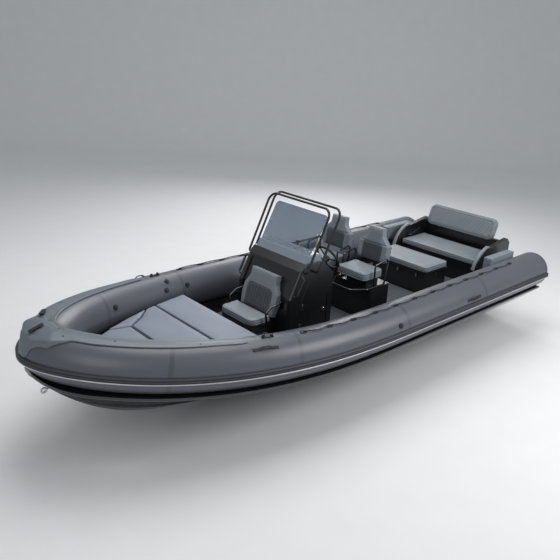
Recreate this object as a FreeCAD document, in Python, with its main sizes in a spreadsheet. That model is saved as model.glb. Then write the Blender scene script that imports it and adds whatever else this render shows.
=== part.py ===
"""Inflatable boat with a rigid deep-V hull, console, helm seats and stern bench.

Millimetres. Every piece is drawn in boat stations: x forward from the aft
ends of the tubes, y to port, z up from the deck. The placement of each piece
then moves it to the part's frame, whose origin is on the centreline
amidships at the waterline, with +X forward and +Z up.
"""
import FreeCAD, Part
import Sketcher
import math
import os
from FreeCAD import Vector

SIZES = [
    # frame
    ("origin_station", 3700, "station of the part's origin"),
    ("deck_above_water", 50, "deck level above the waterline"),
    ("seat_gap", 0.3, "clearance between curved neighbours"),
    ("cut_over", 20, "overrun of a cut past the solid that it cuts"),
    # tube and strake
    ("tube_radius", 251, "radius of the inflated tube"),
    ("tube_half_spacing", 1175, "tube centre line off the boat's centreline"),
    ("tube_centre_height", 258, "tube centre line above the deck, aft"),
    ("tube_bend_station", 3380, "where the tube starts to bend in and to rise"),
    ("tube_tip_station", 7098, "tube centre line at the stem"),
    ("sheer_rise", 301, "rise of the tube centre line at the stem"),
    ("cap_length", 130, "rounded end of the tube"),
    ("strake_height", 64, "rubbing strake, top to bottom"),
    ("strake_drop", 16, "middle of the strake below the middle of the tube"),
    ("strake_thick", 30, "rubbing strake, out from the tube"),
    ("strake_groove_wide", 10, "each groove of the strake"),
    ("strake_groove_deep", 7, "each groove of the strake"),
    ("strake_rib_wide", 16, "middle rib of the strake"),
    ("strake_chamfer", 8, "outer edges of the strake"),
    # hull
    ("keel_depth", 620, "keel below the deck, aft"),
    ("keel_rise_station", 4200, "where the keel starts to rise"),
    ("stem_tip_station", 7340, "foremost point of the stem"),
    ("stem_tip_height", 400, "top of the stem above the deck"),
    ("stem_half_width", 14, "flat along the keel and stem"),
    ("chine_half_width", 1070, "chine off the centreline, aft"),
    ("chine_depth", 250, "chine below the deck, aft"),
    ("chine_bend_station", 3000, "where the chine starts to bend in"),
    ("chine_end_station", 6950, "where the chine meets the stem"),
    ("chine_flat", 60, "flat of the chine"),
    ("spray_rail_wide", 26, "each spray rail"),
    ("rim_offset_aft", 175, "hull rim outside the tube centre line, aft"),
    ("rim_offset_bow", 225, "hull rim outside the tube centre line, at the stem"),
    ("rim_drop", 227, "hull rim below the tube centre line"),
    ("rim_thick", 24, "height of the hull's rim"),
    ("rim_lip", 12, "rim past the hull side"),
    ("cockpit_inset", 130, "edge of the deck inside the tube centre line"),
    ("cockpit_end_station", 6650, "fore end of the deck"),
    ("transom_station", 130, "top of the transom"),
    ("transom_rake", 12, "transom rake in degrees"),
    ("engine_pad_half_width", 330, "flat engine pad on the transom"),
    ("engine_pad_low", -430, "foot of the engine pad"),
    ("engine_pad_high", -20, "top of the engine pad"),
    ("engine_pad_thick", 12, "engine pad, out from the transom"),
    # deck pads
    ("deck_pad_thick", 6, "foam deck covering"),
    ("deck_pad_half_width", 900, "foam deck covering off the centreline"),
    ("deck_pad_fore_share", 0.8, "fore end of the covering, share of its half width"),
    ("deck_pad_corner", 60, "rounded corners of the deck covering"),
    # bow plate
    ("plate_half_turn", 62, "turn of the tube from the stem to the end of a wing"),
    ("plate_inner_angle", 98, "inner edge of the wings round the tube, at their ends"),
    ("plate_inner_angle_bow", 117, "inner edge of the plate round the tube, at the stem"),
    ("plate_outer_angle", 74, "outer edge of the wings round the tube, at their ends"),
    ("plate_outer_angle_bow", 62, "outer edge of the wings round the tube, at the nose"),
    ("plate_edge_thick", 21, "outer edge of the wings at the nose"),
    ("plate_tail_thick", 8, "outer edge of the wings at their ends"),
    ("plate_lip", 7, "raised lip along the plate's inner edge"),
    ("plate_lip_angle", 5, "width of the lip round the tube"),
    ("nose_half_width", 168, "squared nose of the plate"),
    ("nose_top_height", 766, "nose top above the deck at its front edge"),
    ("nose_front_station", 7294, "front edge of the nose top"),
    ("nose_crown_station", 7120, "where the nose top starts to fall"),
    ("nose_foot_station", 7372, "foot of the nose on the strake"),
    ("nose_corner_station", 7272, "front corners of the nose"),
    ("nose_shoulder_station", 7215, "shoulders of the nose"),
    ("nose_shoulder_half_width", 270, "shoulders of the nose"),
    ("nose_wing_station", 7010, "where the nose runs into the wings"),
    ("nose_wing_half_width", 380, "where the nose runs into the wings"),
    ("nose_wing_height", 775, "where the nose runs into the wings"),
    ("nose_back_station", 7040, "where the nose runs into the plate"),
    ("nose_cleat_back", 105, "middle cleat behind the nose's front edge"),
    ("wing_cleat_turn", 73, "turn of the tube at the starboard cleat"),
    ("wing_cleat_angle", 80, "starboard cleat round the tube"),
    ("cleat_length", 150, "cleat"),
    ("cleat_wide", 44, "cleat"),
    ("cleat_height", 26, "cleat"),
    ("eye_hole_radius", 16, "bore of the bow and stern eyes"),
    ("eye_bar_radius", 9, "bar of the eyes"),
    ("eye_station", 7180, "bow eye"),
    ("eye_height", 150, "bow eye above the deck"),
    # bow locker and cushions
    ("bow_base_height", 300, "top of the base under the bow cushions"),
    ("bow_base_station", 5090, "aft face of the base"),
    ("bow_cushion_thick", 98, "bow cushions"),
    ("bow_cushion_station", 5070, "aft edge of the bow cushions"),
    ("bow_seam_aft_station", 5530, "seam between the aft and middle cushions"),
    ("bow_seam_fore_station", 6040, "seam between the middle and fore cushions"),
    ("bow_tip_station", 6420, "fore edge of the bow cushions"),
    ("bow_inset", 330, "edge of the bow cushions inside the tube centre line"),
    ("cushion_seam", 3, "gap between two cushions"),
    ("cushion_round", 18, "rounded edges of cushions"),
    # console
    ("console_aft_station", 3730, "aft foot of the console"),
    ("console_foot_station", 4470, "front foot of the console"),
    ("console_knee_station", 4440, "front face under the slope"),
    ("console_knee_height", 560, "front face under the slope"),
    ("console_brow_station", 4280, "front of the console's brow"),
    ("console_brow_height", 875, "front of the console's brow"),
    ("cowl_foot_station", 4185, "front foot of the cowl"),
    ("cowl_foot_height", 945, "foot of the cowl"),
    ("console_half_width", 480, "console off the centreline"),
    ("console_round", 45, "rounded upright edges of the console"),
    ("cowl_half_width", 445, "cowl under the screen"),
    ("cowl_top_station", 4127, "top edge of the cowl"),
    ("cowl_top_height", 1034, "top of the cowl"),
    ("cowl_aft_station", 3930, "aft edge of the cowl's top"),
    ("dash_foot_station", 3740, "foot of the sloping dash"),
    ("dash_foot_height", 770, "foot of the sloping dash"),
    ("toe_height", 110, "toe recess at the aft foot"),
    ("toe_deep", 50, "toe recess at the aft foot"),
    ("dash_panel_thick", 12, "instrument panel"),
    ("dash_panel_half_width", 420, "instrument panel"),
    ("door_recess", 8, "moulded panel in the console's side"),
    ("recess_deep", 25, "recess in the console's front, behind the backrest"),
    ("recess_half_width", 390, "recess in the console's front"),
    ("recess_foot_height", 420, "foot of the recess"),
    ("recess_top_height", 845, "top of the recess"),
    ("grab_bar_radius", 13, "grab bars on the console's front corners"),
    ("grab_bar_half_width", 532, "grab bars off the centreline"),
    ("grab_bar_top_station", 4275, "upper end of a grab bar"),
    ("grab_bar_top_height", 815, "upper end of a grab bar"),
    ("grab_bar_foot_station", 4385, "lower end of a grab bar"),
    ("grab_bar_foot_height", 600, "lower end of a grab bar"),
    # windscreen
    ("screen_half_width", 431, "screen at its foot"),
    ("screen_top_half_width", 449, "screen at its top"),
    ("screen_top_station", 3857, "screen's top edge"),
    ("screen_top_height", 1474, "screen's top edge"),
    ("screen_thick", 8, "clear screen"),
    ("hoop_radius", 14, "windscreen hoops"),
    ("hoop_bend", 110, "bend of the hoops' top corners"),
    ("hoop_foot_bend", 36, "bend of the hoops' feet"),
    ("front_hoop_foot_station", 4235, "foot of the front hoop"),
    ("front_hoop_foot_height", 860, "foot of the front hoop"),
    ("front_hoop_top_station", 3897, "top of the front hoop"),
    ("front_hoop_top_height", 1567, "top of the front hoop"),
    ("front_hoop_half_width", 525, "front hoop"),
    ("rear_hoop_foot_station", 4100, "foot of the rear hoop"),
    ("rear_hoop_foot_height", 860, "foot of the rear hoop"),
    ("rear_hoop_top_station", 3766, "top of the rear hoop"),
    ("rear_hoop_top_height", 1561, "top of the rear hoop"),
    ("rear_hoop_half_width", 570, "rear hoop"),
    # steering wheel
    ("wheel_radius", 165, "steering wheel, to the middle of its rim"),
    ("wheel_rim_radius", 15, "steering wheel rim"),
    ("wheel_hub_radius", 38, "steering wheel hub"),
    ("wheel_hub_thick", 34, "steering wheel hub"),
    ("wheel_station", 3655, "steering wheel centre"),
    ("wheel_offset", 290, "steering wheel centre, to port"),
    ("wheel_height", 885, "steering wheel centre"),
    ("wheel_tilt", 60, "steering axis from upright, in degrees"),
    ("spoke_radius", 9, "steering wheel spokes"),
    ("column_radius", 30, "steering column"),
    ("column_length", 110, "steering column under the hub"),
    ("column_gap", 0.5, "hub to column"),
    ("shaft_radius", 11, "steering shaft in the hub"),
    ("shaft_length", 20, "steering shaft in the hub"),
    ("shaft_clearance", 0.05, "steering shaft in its bore"),
    # throttle
    ("throttle_offset", 60, "control box, to port"),
    ("throttle_wide", 90, "control box"),
    ("throttle_height", 120, "control box"),
    ("throttle_deep", 60, "control box"),
    ("lever_radius", 9, "control lever"),
    ("lever_length", 130, "control lever"),
    ("knob_radius", 20, "knob of the control lever"),
    # front seat
    ("front_seat_front_station", 4880, "front edge of the front cushion"),
    ("front_seat_back_station", 4574, "back edge of the front cushion"),
    ("front_seat_half_width", 320, "front cushion"),
    ("front_seat_height", 360, "top of the front cushion"),
    ("front_seat_thick", 85, "front cushion"),
    ("front_seat_corner", 110, "rounded front corners of the front cushion"),
    ("front_hinge_offset", 153, "hinges of the front cushion off the centreline"),
    ("front_base_inset", 40, "front seat base inside its cushion"),
    ("front_back_top_station", 4425, "front seat backrest, top"),
    ("front_back_top_height", 805, "front seat backrest, top"),
    ("front_back_half_width", 330, "front seat backrest at its foot"),
    ("front_back_top_half_width", 255, "front seat backrest at its top"),
    ("front_back_thick", 95, "front seat backrest"),
    ("front_rail_radius", 12, "arm rails of the front seat"),
    ("front_rail_height", 455, "arm rails of the front seat"),
    ("front_rail_reach", 210, "arm rails, forward of the backrest"),
    # helm seats
    ("helm_box_aft_station", 2780, "seat box, aft face"),
    ("helm_box_front_station", 3160, "seat box, front face"),
    ("helm_box_half_width", 600, "seat box"),
    ("helm_box_height", 450, "seat box"),
    ("helm_box_round", 30, "seat box, upright edges"),
    ("helm_seat_offset", 330, "each helm seat off the centreline"),
    ("helm_seat_half_width", 262, "helm cushion"),
    ("helm_seat_back_station", 2880, "helm cushion, aft edge"),
    ("helm_seat_front_station", 3290, "helm cushion, front edge"),
    ("helm_seat_height", 665, "helm cushion, top"),
    ("helm_seat_thick", 110, "helm cushion"),
    ("helm_seat_corner", 70, "helm cushion, rounded corners"),
    ("helm_post_half_width", 170, "seat post between box and cushion"),
    ("helm_back_top_height", 1170, "helm backrest, top"),
    ("helm_back_top_half_width", 140, "helm backrest, top"),
    ("helm_back_mid_height", 1000, "helm backrest, shoulders"),
    ("helm_back_foot_height", 700, "helm backrest, foot"),
    ("helm_back_foot_half_width", 215, "helm backrest, foot"),
    ("helm_back_thick", 105, "helm backrest"),
    ("helm_back_station", 2800, "helm backrest, aft face at its foot"),
    ("helm_back_lean", 70, "helm backrest, aft lean of its top"),
    ("helm_rail_radius", 12, "helm seat rails"),
    ("helm_rail_bend", 60, "helm seat rails, bends"),
    ("helm_rail_front_station", 3420, "foot rail in front of a helm seat"),
    ("helm_arm_height", 812, "arm rail of a helm seat"),
    # aft locker
    ("locker_aft_station", 1330, "aft locker, aft face"),
    ("locker_front_station", 1830, "aft locker, front face"),
    ("locker_half_width", 480, "aft locker"),
    ("locker_height", 325, "aft locker, top of its box"),
    ("locker_wall", 20, "aft locker, walls"),
    ("locker_lid_over", 30, "lid past the box"),
    ("locker_lid_thick", 16, "lid"),
    ("hinge_radius", 7, "hinge barrels"),
    ("hinge_length", 70, "hinge barrels"),
    ("hinge_clear", 1, "hinge barrels from the lid"),
    ("hinge_leaf", 3, "hinge leaves"),
    ("locker_cushion_thick", 85, "cushion on the lid"),
    ("locker_corner", 75, "rounded corners of the lid and its cushion"),
    ("latch_radius", 15, "latches of the aft locker"),
    ("latch_length", 62, "latches of the aft locker"),
    ("latch_stand", 24, "latches in front of the box"),
    # bench
    ("bench_aft_station", 150, "bench moulding, aft face"),
    ("bench_front_station", 880, "bench moulding, front face"),
    ("bench_half_width", 700, "bench seat between the cheeks"),
    ("bench_base_height", 308, "bench seat, top of the moulding"),
    ("bench_cushion_thick", 88, "bench seat cushion"),
    ("bench_cushion_back_station", 300, "bench seat cushion, aft edge"),
    ("bench_cushion_front_station", 905, "bench seat cushion, front edge"),
    ("cheek_thick", 70, "bench cheeks"),
    ("cheek_top_height", 640, "bench cheeks, aft"),
    ("cheek_front_station", 1010, "bench cheeks, front foot"),
    ("cheek_round", 330, "curve of the cheeks' front"),
    ("bench_wall_thick", 60, "aft wall of the bench"),
    ("bench_back_half_width", 625, "bench backrest"),
    ("bench_back_foot_height", 585, "bench backrest, foot"),
    ("bench_back_top_height", 930, "bench backrest, top"),
    ("bench_back_foot_station", 425, "bench backrest, front face at its foot"),
    ("bench_back_lean", 130, "bench backrest, aft lean of its top"),
    ("bench_back_thick", 95, "bench backrest"),
    ("bench_back_corner", 120, "bench backrest, rounded corners"),
    ("bracket_wide", 60, "brackets of the bench backrest"),
    ("bracket_thick", 12, "brackets of the bench backrest"),
    ("bracket_offset", 430, "brackets off the centreline"),
    ("arm_pad_thick", 26, "pads on the cheeks"),
    ("grab_radius", 11, "grab rails inside the cheeks"),
    ("grab_length", 240, "grab rails inside the cheeks"),
    ("grab_stand", 45, "grab rails off the cheeks"),
    # side pads
    ("side_pad_aft_station", 400, "side pads"),
    ("side_pad_front_station", 1030, "side pads"),
    ("side_pad_foot_height", 315, "side pads"),
    ("side_pad_top_height", 545, "side pads"),
    ("side_pad_inner", 880, "inner face of the side pads off the centreline"),
    ("side_pad_deep", 130, "side pads, before the tube cuts them"),
    # fittings on the tubes
    ("line_aft_station", 890, "aft end of the lifelines"),
    ("line_front_station", 4880, "front end of the lifelines"),
    ("line_radius", 6, "lifeline"),
    ("line_angle", 82, "lifeline's place round the tube, in degrees from level"),
    ("line_slack", 26, "lifeline between two patches, down the tube"),
    ("patch_length", 84, "lifeline patches"),
    ("patch_wide", 46, "lifeline patches"),
    ("patch_thick", 7, "lifeline patches"),
    ("handle_length", 290, "tube handles"),
    ("handle_wide", 30, "tube handles"),
    ("handle_thick", 8, "tube handles"),
    ("handle_rise", 32, "tube handles off the tube"),
    ("handle_pad_length", 70, "pads at the ends of the handles"),
    ("handle_fore_station", 5400, "fore handles"),
    ("handle_fore_angle", 56, "fore handles round the tube"),
    ("handle_aft_station", 2040, "aft handles"),
    ("handle_aft_angle", 19, "aft handles round the tube"),
    ("fairlead_station", 5305, "fairleads ahead of the lifelines"),
    ("fairlead_angle", 89, "fairleads round the tube"),
    ("fairlead_length", 140, "fairleads"),
    ("fairlead_wide", 44, "fairleads"),
    ("fairlead_height", 30, "studs of the fairleads"),
    ("side_valve_station", 3544, "outboard valves"),
    ("side_valve_angle", 21, "outboard valves round the tube"),
    ("bow_valve_station", 6170, "valves inside the bow"),
    ("bow_valve_angle", 157, "valves inside the bow, round the tube"),
    ("upper_valve_station", 5239, "upper valves of a pair inside the tubes"),
    ("upper_valve_angle", 126, "upper valves, round the tube"),
    ("lower_valve_station", 5305, "lower valves of the pair"),
    ("lower_valve_angle", 151, "lower valves, round the tube"),
    ("inner_valve_station", 4954, "valves behind the pair"),
    ("inner_valve_angle", 150, "valves behind the pair, round the tube"),
    ("valve_radius", 32, "inflation valves"),
    ("valve_thick", 12, "inflation valves"),
]

# Shares of the sizes above
SHEER_SHARE = 2.12
BEND_SHARE = 0.712
SPACING_SHARE = 1.25
KEEL_SHARE = 3.85
CHINE_PLAN_SHARE = 2.2
CHINE_RISE_SHARE = 2.6
RAIL_SHARES = (0.36, 0.70)
LINE_SPANS = 11
BOW_STEPS = 12
BOW_SAMPLES = 600
PLATE_SHARE = 0.5
STEM_TURN = 87
FAIRLEAD_STUD_SHARE = 0.7

doc = FreeCAD.newDocument("rib_boat")
sheet = doc.addObject("Spreadsheet::Sheet", "Sizes")
for row, (alias, value, note) in enumerate(SIZES, start=1):
    sheet.set("A%d" % row, note)
    sheet.set("B%d" % row, str(value))
    sheet.setAlias("B%d" % row, alias)
doc.recompute()

nodes = {}


class Size:
    """A length of the sheet, or a sum of them, with the formula that binds it."""

    def __init__(self, value, formula):
        self.value = value
        self.formula = formula

    def join(self, other, sign, value):
        text = other.formula if isinstance(other, Size) else repr(other)
        return Size(value, "(%s %s %s)" % (self.formula, sign, text))

    def __add__(self, other):
        return self.join(other, "+", self.value + number(other))

    def __sub__(self, other):
        return self.join(other, "-", self.value - number(other))

    def __mul__(self, other):
        return self.join(other, "*", self.value * number(other))

    def __truediv__(self, other):
        return self.join(other, "/", self.value / number(other))

    def __neg__(self):
        return Size(-self.value, "(0 - %s)" % self.formula)


def number(size):
    return size.value if isinstance(size, Size) else size


class Sheet:
    """The sheet's sizes by name: s.tube_radius is bound, v.tube_radius a number."""

    def __init__(self, plain):
        self.plain = plain

    def __getattr__(self, alias):
        value = float(sheet.get(alias))
        return value if self.plain else Size(value, "Sizes.%s" % alias)


s = Sheet(plain=False)
v = Sheet(plain=True)
ZERO = Size(0, "0")


def bind(item, prop, size):
    item.setExpression(prop, size.formula)


def place(item):
    """Move a piece from boat stations to the part's frame."""
    bind(item, "Placement.Base.x", -s.origin_station)
    bind(item, "Placement.Base.z", s.deck_above_water)


def keep(name, item):
    """Make an object a node: its label names its file."""
    item.Label = name
    place(item)
    nodes[name] = item
    return item


def feature(name, shape):
    """A free-form node, whose shape the functions below make."""
    item = doc.addObject("Part::Feature", name)
    item.Shape = shape
    item.Label = name
    shift = Vector(-v.origin_station, 0, v.deck_above_water)
    item.Placement = FreeCAD.Placement(shift, FreeCAD.Rotation()).multiply(shape.Placement)
    nodes[name] = item
    return item


def shaped(name):
    """A node's shape in boat stations."""
    shape = nodes[name].Shape.copy()
    shape.translate(Vector(v.origin_station, 0, -v.deck_above_water))
    return shape


def box(name, x0, x1, y0, y1, z0, z1):
    item = doc.addObject("Part::Box", name)
    bind(item, "Length", x1 - x0)
    bind(item, "Width", y1 - y0)
    bind(item, "Height", z1 - z0)
    for axis, low in zip("xyz", (x0, y0, z0)):
        bind(item, "Placement.Base.%s" % axis, low)
    return item


def cylinder(name, radius, length, base, direction):
    """A cylinder from a base point along a direction."""
    item = doc.addObject("Part::Cylinder", name)
    bind(item, "Radius", radius)
    bind(item, "Height", length)
    item.Placement.Rotation = FreeCAD.Rotation(Vector(0, 0, 1), direction)
    for axis, place_on_axis in zip("xyz", base):
        bind(item, "Placement.Base.%s" % axis, place_on_axis)
    return item


def fuse(name, items):
    item = doc.addObject("Part::MultiFuse", name)
    item.Shapes = items
    return item


def cut(name, base, tool):
    item = doc.addObject("Part::Cut", name)
    item.Base = base
    item.Tool = tool
    return item


def new_body(name):
    return doc.addObject("PartDesign::Body", name)


def origin_plane(body, role):
    return next(item for item in body.Origin.OriginFeatures if item.Role == role)


def add_sketch(body, name, plane, corners, offset=ZERO):
    """A closed outline of straight lines, each corner bound to the sheet."""
    sketch = body.newObject("Sketcher::SketchObject", name)
    sketch.AttachmentSupport = [(origin_plane(body, plane), "")]
    sketch.MapMode = "FlatFace"
    bind(sketch, "AttachmentOffset.Base.z", offset)
    points = [Vector(number(a), number(b), 0) for a, b in corners]
    count = len(points)
    sketch.addGeometry([Part.LineSegment(points[i], points[(i + 1) % count])
                        for i in range(count)])
    sketch.addConstraint([Sketcher.Constraint("Coincident", i, 2, (i + 1) % count, 1)
                          for i in range(count)])
    for i, corner in enumerate(corners):
        for kind, axis, size in zip(("DistanceX", "DistanceY"), (-2, -1), corner):
            if number(size) == 0:
                sketch.addConstraint(Sketcher.Constraint("PointOnObject", i, 1, axis))
            else:
                index = sketch.addConstraint(
                    Sketcher.Constraint(kind, i, 1, number(size)))
                bind(sketch, "Constraints[%d]" % index, size)
    return sketch


def pad(body, name, sketch, length, both_ways=False):
    item = body.newObject("PartDesign::Pad", name)
    item.Profile = sketch
    item.SideType = "Symmetric" if both_ways else "One side"
    bind(item, "Length", length)
    body.Tip = item
    doc.recompute()
    return item


def pocket(body, name, sketch, length, reverse=False, both_ways=False):
    before = body.Shape.Volume
    item = body.newObject("PartDesign::Pocket", name)
    item.Profile = sketch
    item.SideType = "Symmetric" if both_ways else "One side"
    item.Reversed = reverse
    bind(item, "Length", length)
    body.Tip = item
    doc.recompute()
    if not item.Shape.Volume < before:
        raise RuntimeError("%s removes nothing" % name)
    return item


def fillet(body, name, base, test, radius):
    """Round the edges of a feature that pass a test."""
    picked = ["Edge%d" % (i + 1) for i, edge in enumerate(base.Shape.Edges) if test(edge)]
    item = body.newObject("PartDesign::Fillet", name)
    item.Base = (base, picked)
    bind(item, "Radius", radius)
    body.Tip = item
    doc.recompute()
    return item


def along(axis):
    """Test for straight edges that run along an axis."""
    def test(edge):
        if edge.Curve.TypeId != "Part::GeomLine":
            return False
        return abs(abs(edge.Curve.Direction.dot(axis)) - 1) < 1e-6
    return test


def both(*tests):
    return lambda edge: all(test(edge) for test in tests)


def at_level(axis, level):
    """Test for edges that lie wholly at one level of an axis."""
    def test(edge):
        ends = [vertex.Point.dot(axis) for vertex in edge.Vertexes]
        middle = edge.valueAt((edge.FirstParameter + edge.LastParameter) / 2).dot(axis)
        return all(abs(end - number(level)) < 1e-3 for end in ends + [middle])
    return test


def beyond(axis, level):
    """Test for edges whose middle lies past a level of an axis."""
    return lambda edge: edge.CenterOfMass.dot(axis) > number(level)


def off_centre(half):
    """Test for edges that lie at a distance to port or starboard."""
    return lambda edge: at_level(Y, half)(edge) or at_level(Y, -half)(edge)


X, Y, Z = Vector(1, 0, 0), Vector(0, 1, 0), Vector(0, 0, 1)


# The tube's centre line


def spine(turn):
    """Point, forward direction, outward direction and up direction of the
    port tube's centre line, at a turn of 0 where it starts to bend and 90
    degrees at the stem."""
    def point(angle):
        reach = v.tube_tip_station - v.tube_bend_station
        x = v.tube_bend_station + reach * math.sin(angle) ** BEND_SHARE
        rise = (x - v.tube_bend_station) / reach
        side = math.cos(angle)
        y = v.tube_half_spacing * abs(side) ** SPACING_SHARE
        z = v.tube_centre_height + v.sheer_rise * rise ** SHEER_SHARE
        return Vector(x, y, z)
    angle = math.radians(turn)
    here = point(angle)
    if turn <= 0:
        forward = Vector(X)
    elif turn >= 90:
        forward = Vector(0, -1, 0)
    else:
        small = 1e-4
        forward = point(angle + small) - point(max(0, angle - small))
        forward.normalize()
    outward = forward.cross(Z)
    outward.normalize()
    outward = outward * -1 if outward.y < 0 or (turn >= 90 and outward.x < 0) else outward
    up = outward.cross(forward)
    up = up * -1 if up.z < 0 else up
    return here, forward, outward, up


def straight_spine(x):
    """The same on the straight stretch, at a station."""
    here = Vector(x, v.tube_half_spacing, v.tube_centre_height)
    return here, Vector(X), Vector(Y), Vector(Z)


def turn_at(x):
    """Turn of the spine at a station."""
    if x <= v.tube_bend_station:
        return 0
    share = (x - v.tube_bend_station) / (v.tube_tip_station - v.tube_bend_station)
    return math.degrees(math.asin(min(1, share) ** (1 / BEND_SHARE)))


def spine_at(x):
    return straight_spine(x) if x <= v.tube_bend_station else spine(turn_at(x))


def mirrored(frame):
    """The starboard tube's frame that matches a port one."""
    flip = lambda p: Vector(p.x, -p.y, p.z)
    return tuple(flip(part) for part in frame)


def local(frame, out, up):
    """A point by its distances out and up from the centre line."""
    here, _, outward, upward = frame
    return here + outward * out + upward * up


def round_tube(frame, radius, degrees, lift=0):
    """A point on the tube by its angle from level, outboard, going up."""
    angle = math.radians(degrees)
    reach = radius + lift
    return local(frame, reach * math.cos(angle), reach * math.sin(angle))


def even_turns():
    """Turns of the port bend at even lengths along the centre line."""
    fine = [90 * (i / BOW_SAMPLES) ** 2 for i in range(BOW_SAMPLES + 1)]
    points = [spine(turn)[0] for turn in fine]
    lengths = [0]
    for a, b in zip(points, points[1:]):
        lengths.append(lengths[-1] + (b - a).Length)
    turns = []
    for i in range(BOW_STEPS):
        turns.append(next(turn for turn, length in zip(fine, lengths)
                          if length >= lengths[-1] * i / BOW_STEPS))
    return turns + [90]


PORT_TURNS = even_turns()


def bow_turns():
    """Turns round the whole bow, from port to starboard."""
    return PORT_TURNS + [180 - turn for turn in reversed(PORT_TURNS[:-1])]


def bow_frame(turn):
    return spine(turn) if turn <= 90 else mirrored(spine(180 - turn))


def circle_section(frame, radius):
    corners = [round_tube(frame, radius, turn) for turn in range(0, 360, 45)]
    arcs = []
    for i in range(0, 8, 2):
        arcs.append(Part.Arc(corners[i], corners[i + 1], corners[(i + 2) % 8]).toShape())
    return Part.Wire(arcs)


def bow_tube(radius):
    """The curved part of the tube."""
    return Part.makeLoft([circle_section(bow_frame(turn), radius) for turn in bow_turns()], True)


def straight_tube(radius, side):
    start = Vector(v.cap_length, side * v.tube_half_spacing, v.tube_centre_height)
    return Part.makeCylinder(radius, v.tube_bend_station - v.cap_length, start, X)


def whole_tube(radius):
    """The whole collar, to cut its seat in what lies against it."""
    parts = [bow_tube(radius)]
    for side in (1, -1):
        centre = Vector(0, side * v.tube_half_spacing, v.tube_centre_height)
        length = v.tube_bend_station
        parts.append(Part.makeCylinder(radius, length, centre, X))
    return parts


seat_tube = whole_tube(v.tube_radius + v.seat_gap)


def cut_tube(shape):
    """Cut the collar's seat, from the stretches of it that the shape meets."""
    return shape.cut([tube for tube in seat_tube if tube.BoundBox.intersect(shape.BoundBox)])


def cut_tube_near(shape):
    """The same for a small fitting, from the collar close round it."""
    room = shape.BoundBox
    room.enlarge(v.cut_over)
    corner = Vector(room.XMin, room.YMin, room.ZMin)
    block = Part.makeBox(room.XLength, room.YLength, room.ZLength, corner)
    return shape.cut([tube.common(block) for tube in seat_tube if tube.BoundBox.intersect(room)])


feature("tube_port", straight_tube(v.tube_radius, 1))
feature("tube_starboard", straight_tube(v.tube_radius, -1))
feature("tube_bow", bow_tube(v.tube_radius))


def end_caps():
    """Rounded ends of the tubes: half an ellipsoid each."""
    halves = []
    for side, name in ((1, "port"), (-1, "starboard")):
        half = doc.addObject("Part::Ellipsoid", "cap_" + name)
        bind(half, "Radius1", s.cap_length)
        bind(half, "Radius2", s.tube_radius)
        bind(half, "Radius3", s.tube_radius)
        half.Angle1 = 0
        half.Angle2 = 90
        half.Placement.Rotation = FreeCAD.Rotation(Z, -X)
        bind(half, "Placement.Base.x", s.cap_length)
        bind(half, "Placement.Base.y", s.tube_half_spacing * side)
        bind(half, "Placement.Base.z", s.tube_centre_height)
        halves.append(half)
    pair = doc.addObject("Part::Compound", "tube_end_caps")
    pair.Links = halves
    return keep("tube_end_caps", pair)


end_caps()


# Rubbing strake


def strake_outline():
    """Outer outline of the strake, top to bottom, as (out, up)."""
    crown = v.tube_radius + v.strake_thick
    half = v.strake_height / 2
    rib = v.strake_rib_wide / 2
    groove = rib + v.strake_groove_wide
    floor = crown - v.strake_groove_deep
    upper = [(crown - v.strake_chamfer, half), (crown, half - v.strake_chamfer),
             (crown, groove), (floor, groove), (floor, rib), (crown, rib)]
    lower = [(out, -up) for out, up in reversed(upper)]
    return [(out, up - v.strake_drop) for out, up in upper + lower]


def strake_section(frame):
    outline = strake_outline()
    root = v.tube_radius - v.strake_thick
    path = [(root, outline[0][1])] + outline + [(root, outline[-1][1])]
    points = [local(frame, out, up) for out, up in path]
    return Part.makePolygon(points + points[:1])


def strake():
    bow = Part.makeLoft([strake_section(bow_frame(turn)) for turn in bow_turns()], True)
    bow = bow.cut(seat_tube[0])
    pieces = []
    for side in (1, -1):
        frame = straight_spine(v.cap_length)
        frame = frame if side > 0 else mirrored(frame)
        face = Part.Face(strake_section(frame))
        piece = face.extrude(X * (v.tube_bend_station - v.cap_length))
        pieces.append(piece.cut(seat_tube[1 if side > 0 else 2]))
    return bow.fuse(pieces).removeSplitter()


feature("rub_strake", strake())


# Outlines inside the tubes


def inside_edge(x, inset):
    """Half width inside the tube at a station, by an inset from its centre."""
    if x <= v.tube_bend_station:
        return v.tube_half_spacing - inset
    low, high = 0.0, 90.0
    for _ in range(40):
        middle = (low + high) / 2
        point = local(spine(middle), -inset, 0)
        if point.x < x:
            low = middle
        else:
            high = middle
    return local(spine(low), -inset, 0).y


def bow_outline(stations, inset):
    return [Vector(x, inside_edge(x, inset), 0) for x in stations]


def prism(points, low, high):
    face = Part.Face(Part.makePolygon(points + points[:1]))
    face.translate(Z * low)
    return face.extrude(Z * (high - low))


# Hull


def keel_height(x):
    span = v.stem_tip_station - v.keel_rise_station
    share = max(0, (x - v.keel_rise_station) / span)
    return -v.keel_depth + (v.keel_depth + v.stem_tip_height) * share ** KEEL_SHARE


def chine(x):
    """Half width and height of the chine at a station."""
    share = max(0, (x - v.chine_bend_station) / (v.chine_end_station - v.chine_bend_station))
    width = v.chine_half_width * (1 - min(1, share) ** CHINE_PLAN_SHARE)
    height = -v.chine_depth + v.chine_depth * share ** CHINE_RISE_SHARE
    least = v.stem_half_width * 1.5
    low = keel_height(x) + least / 2
    return max(least, width), max(height, low)


def hull_rim(frame, share):
    offset = v.rim_offset_aft + (v.rim_offset_bow - v.rim_offset_aft) * share
    return local(frame, offset, 0) - Z * v.rim_drop


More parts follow.
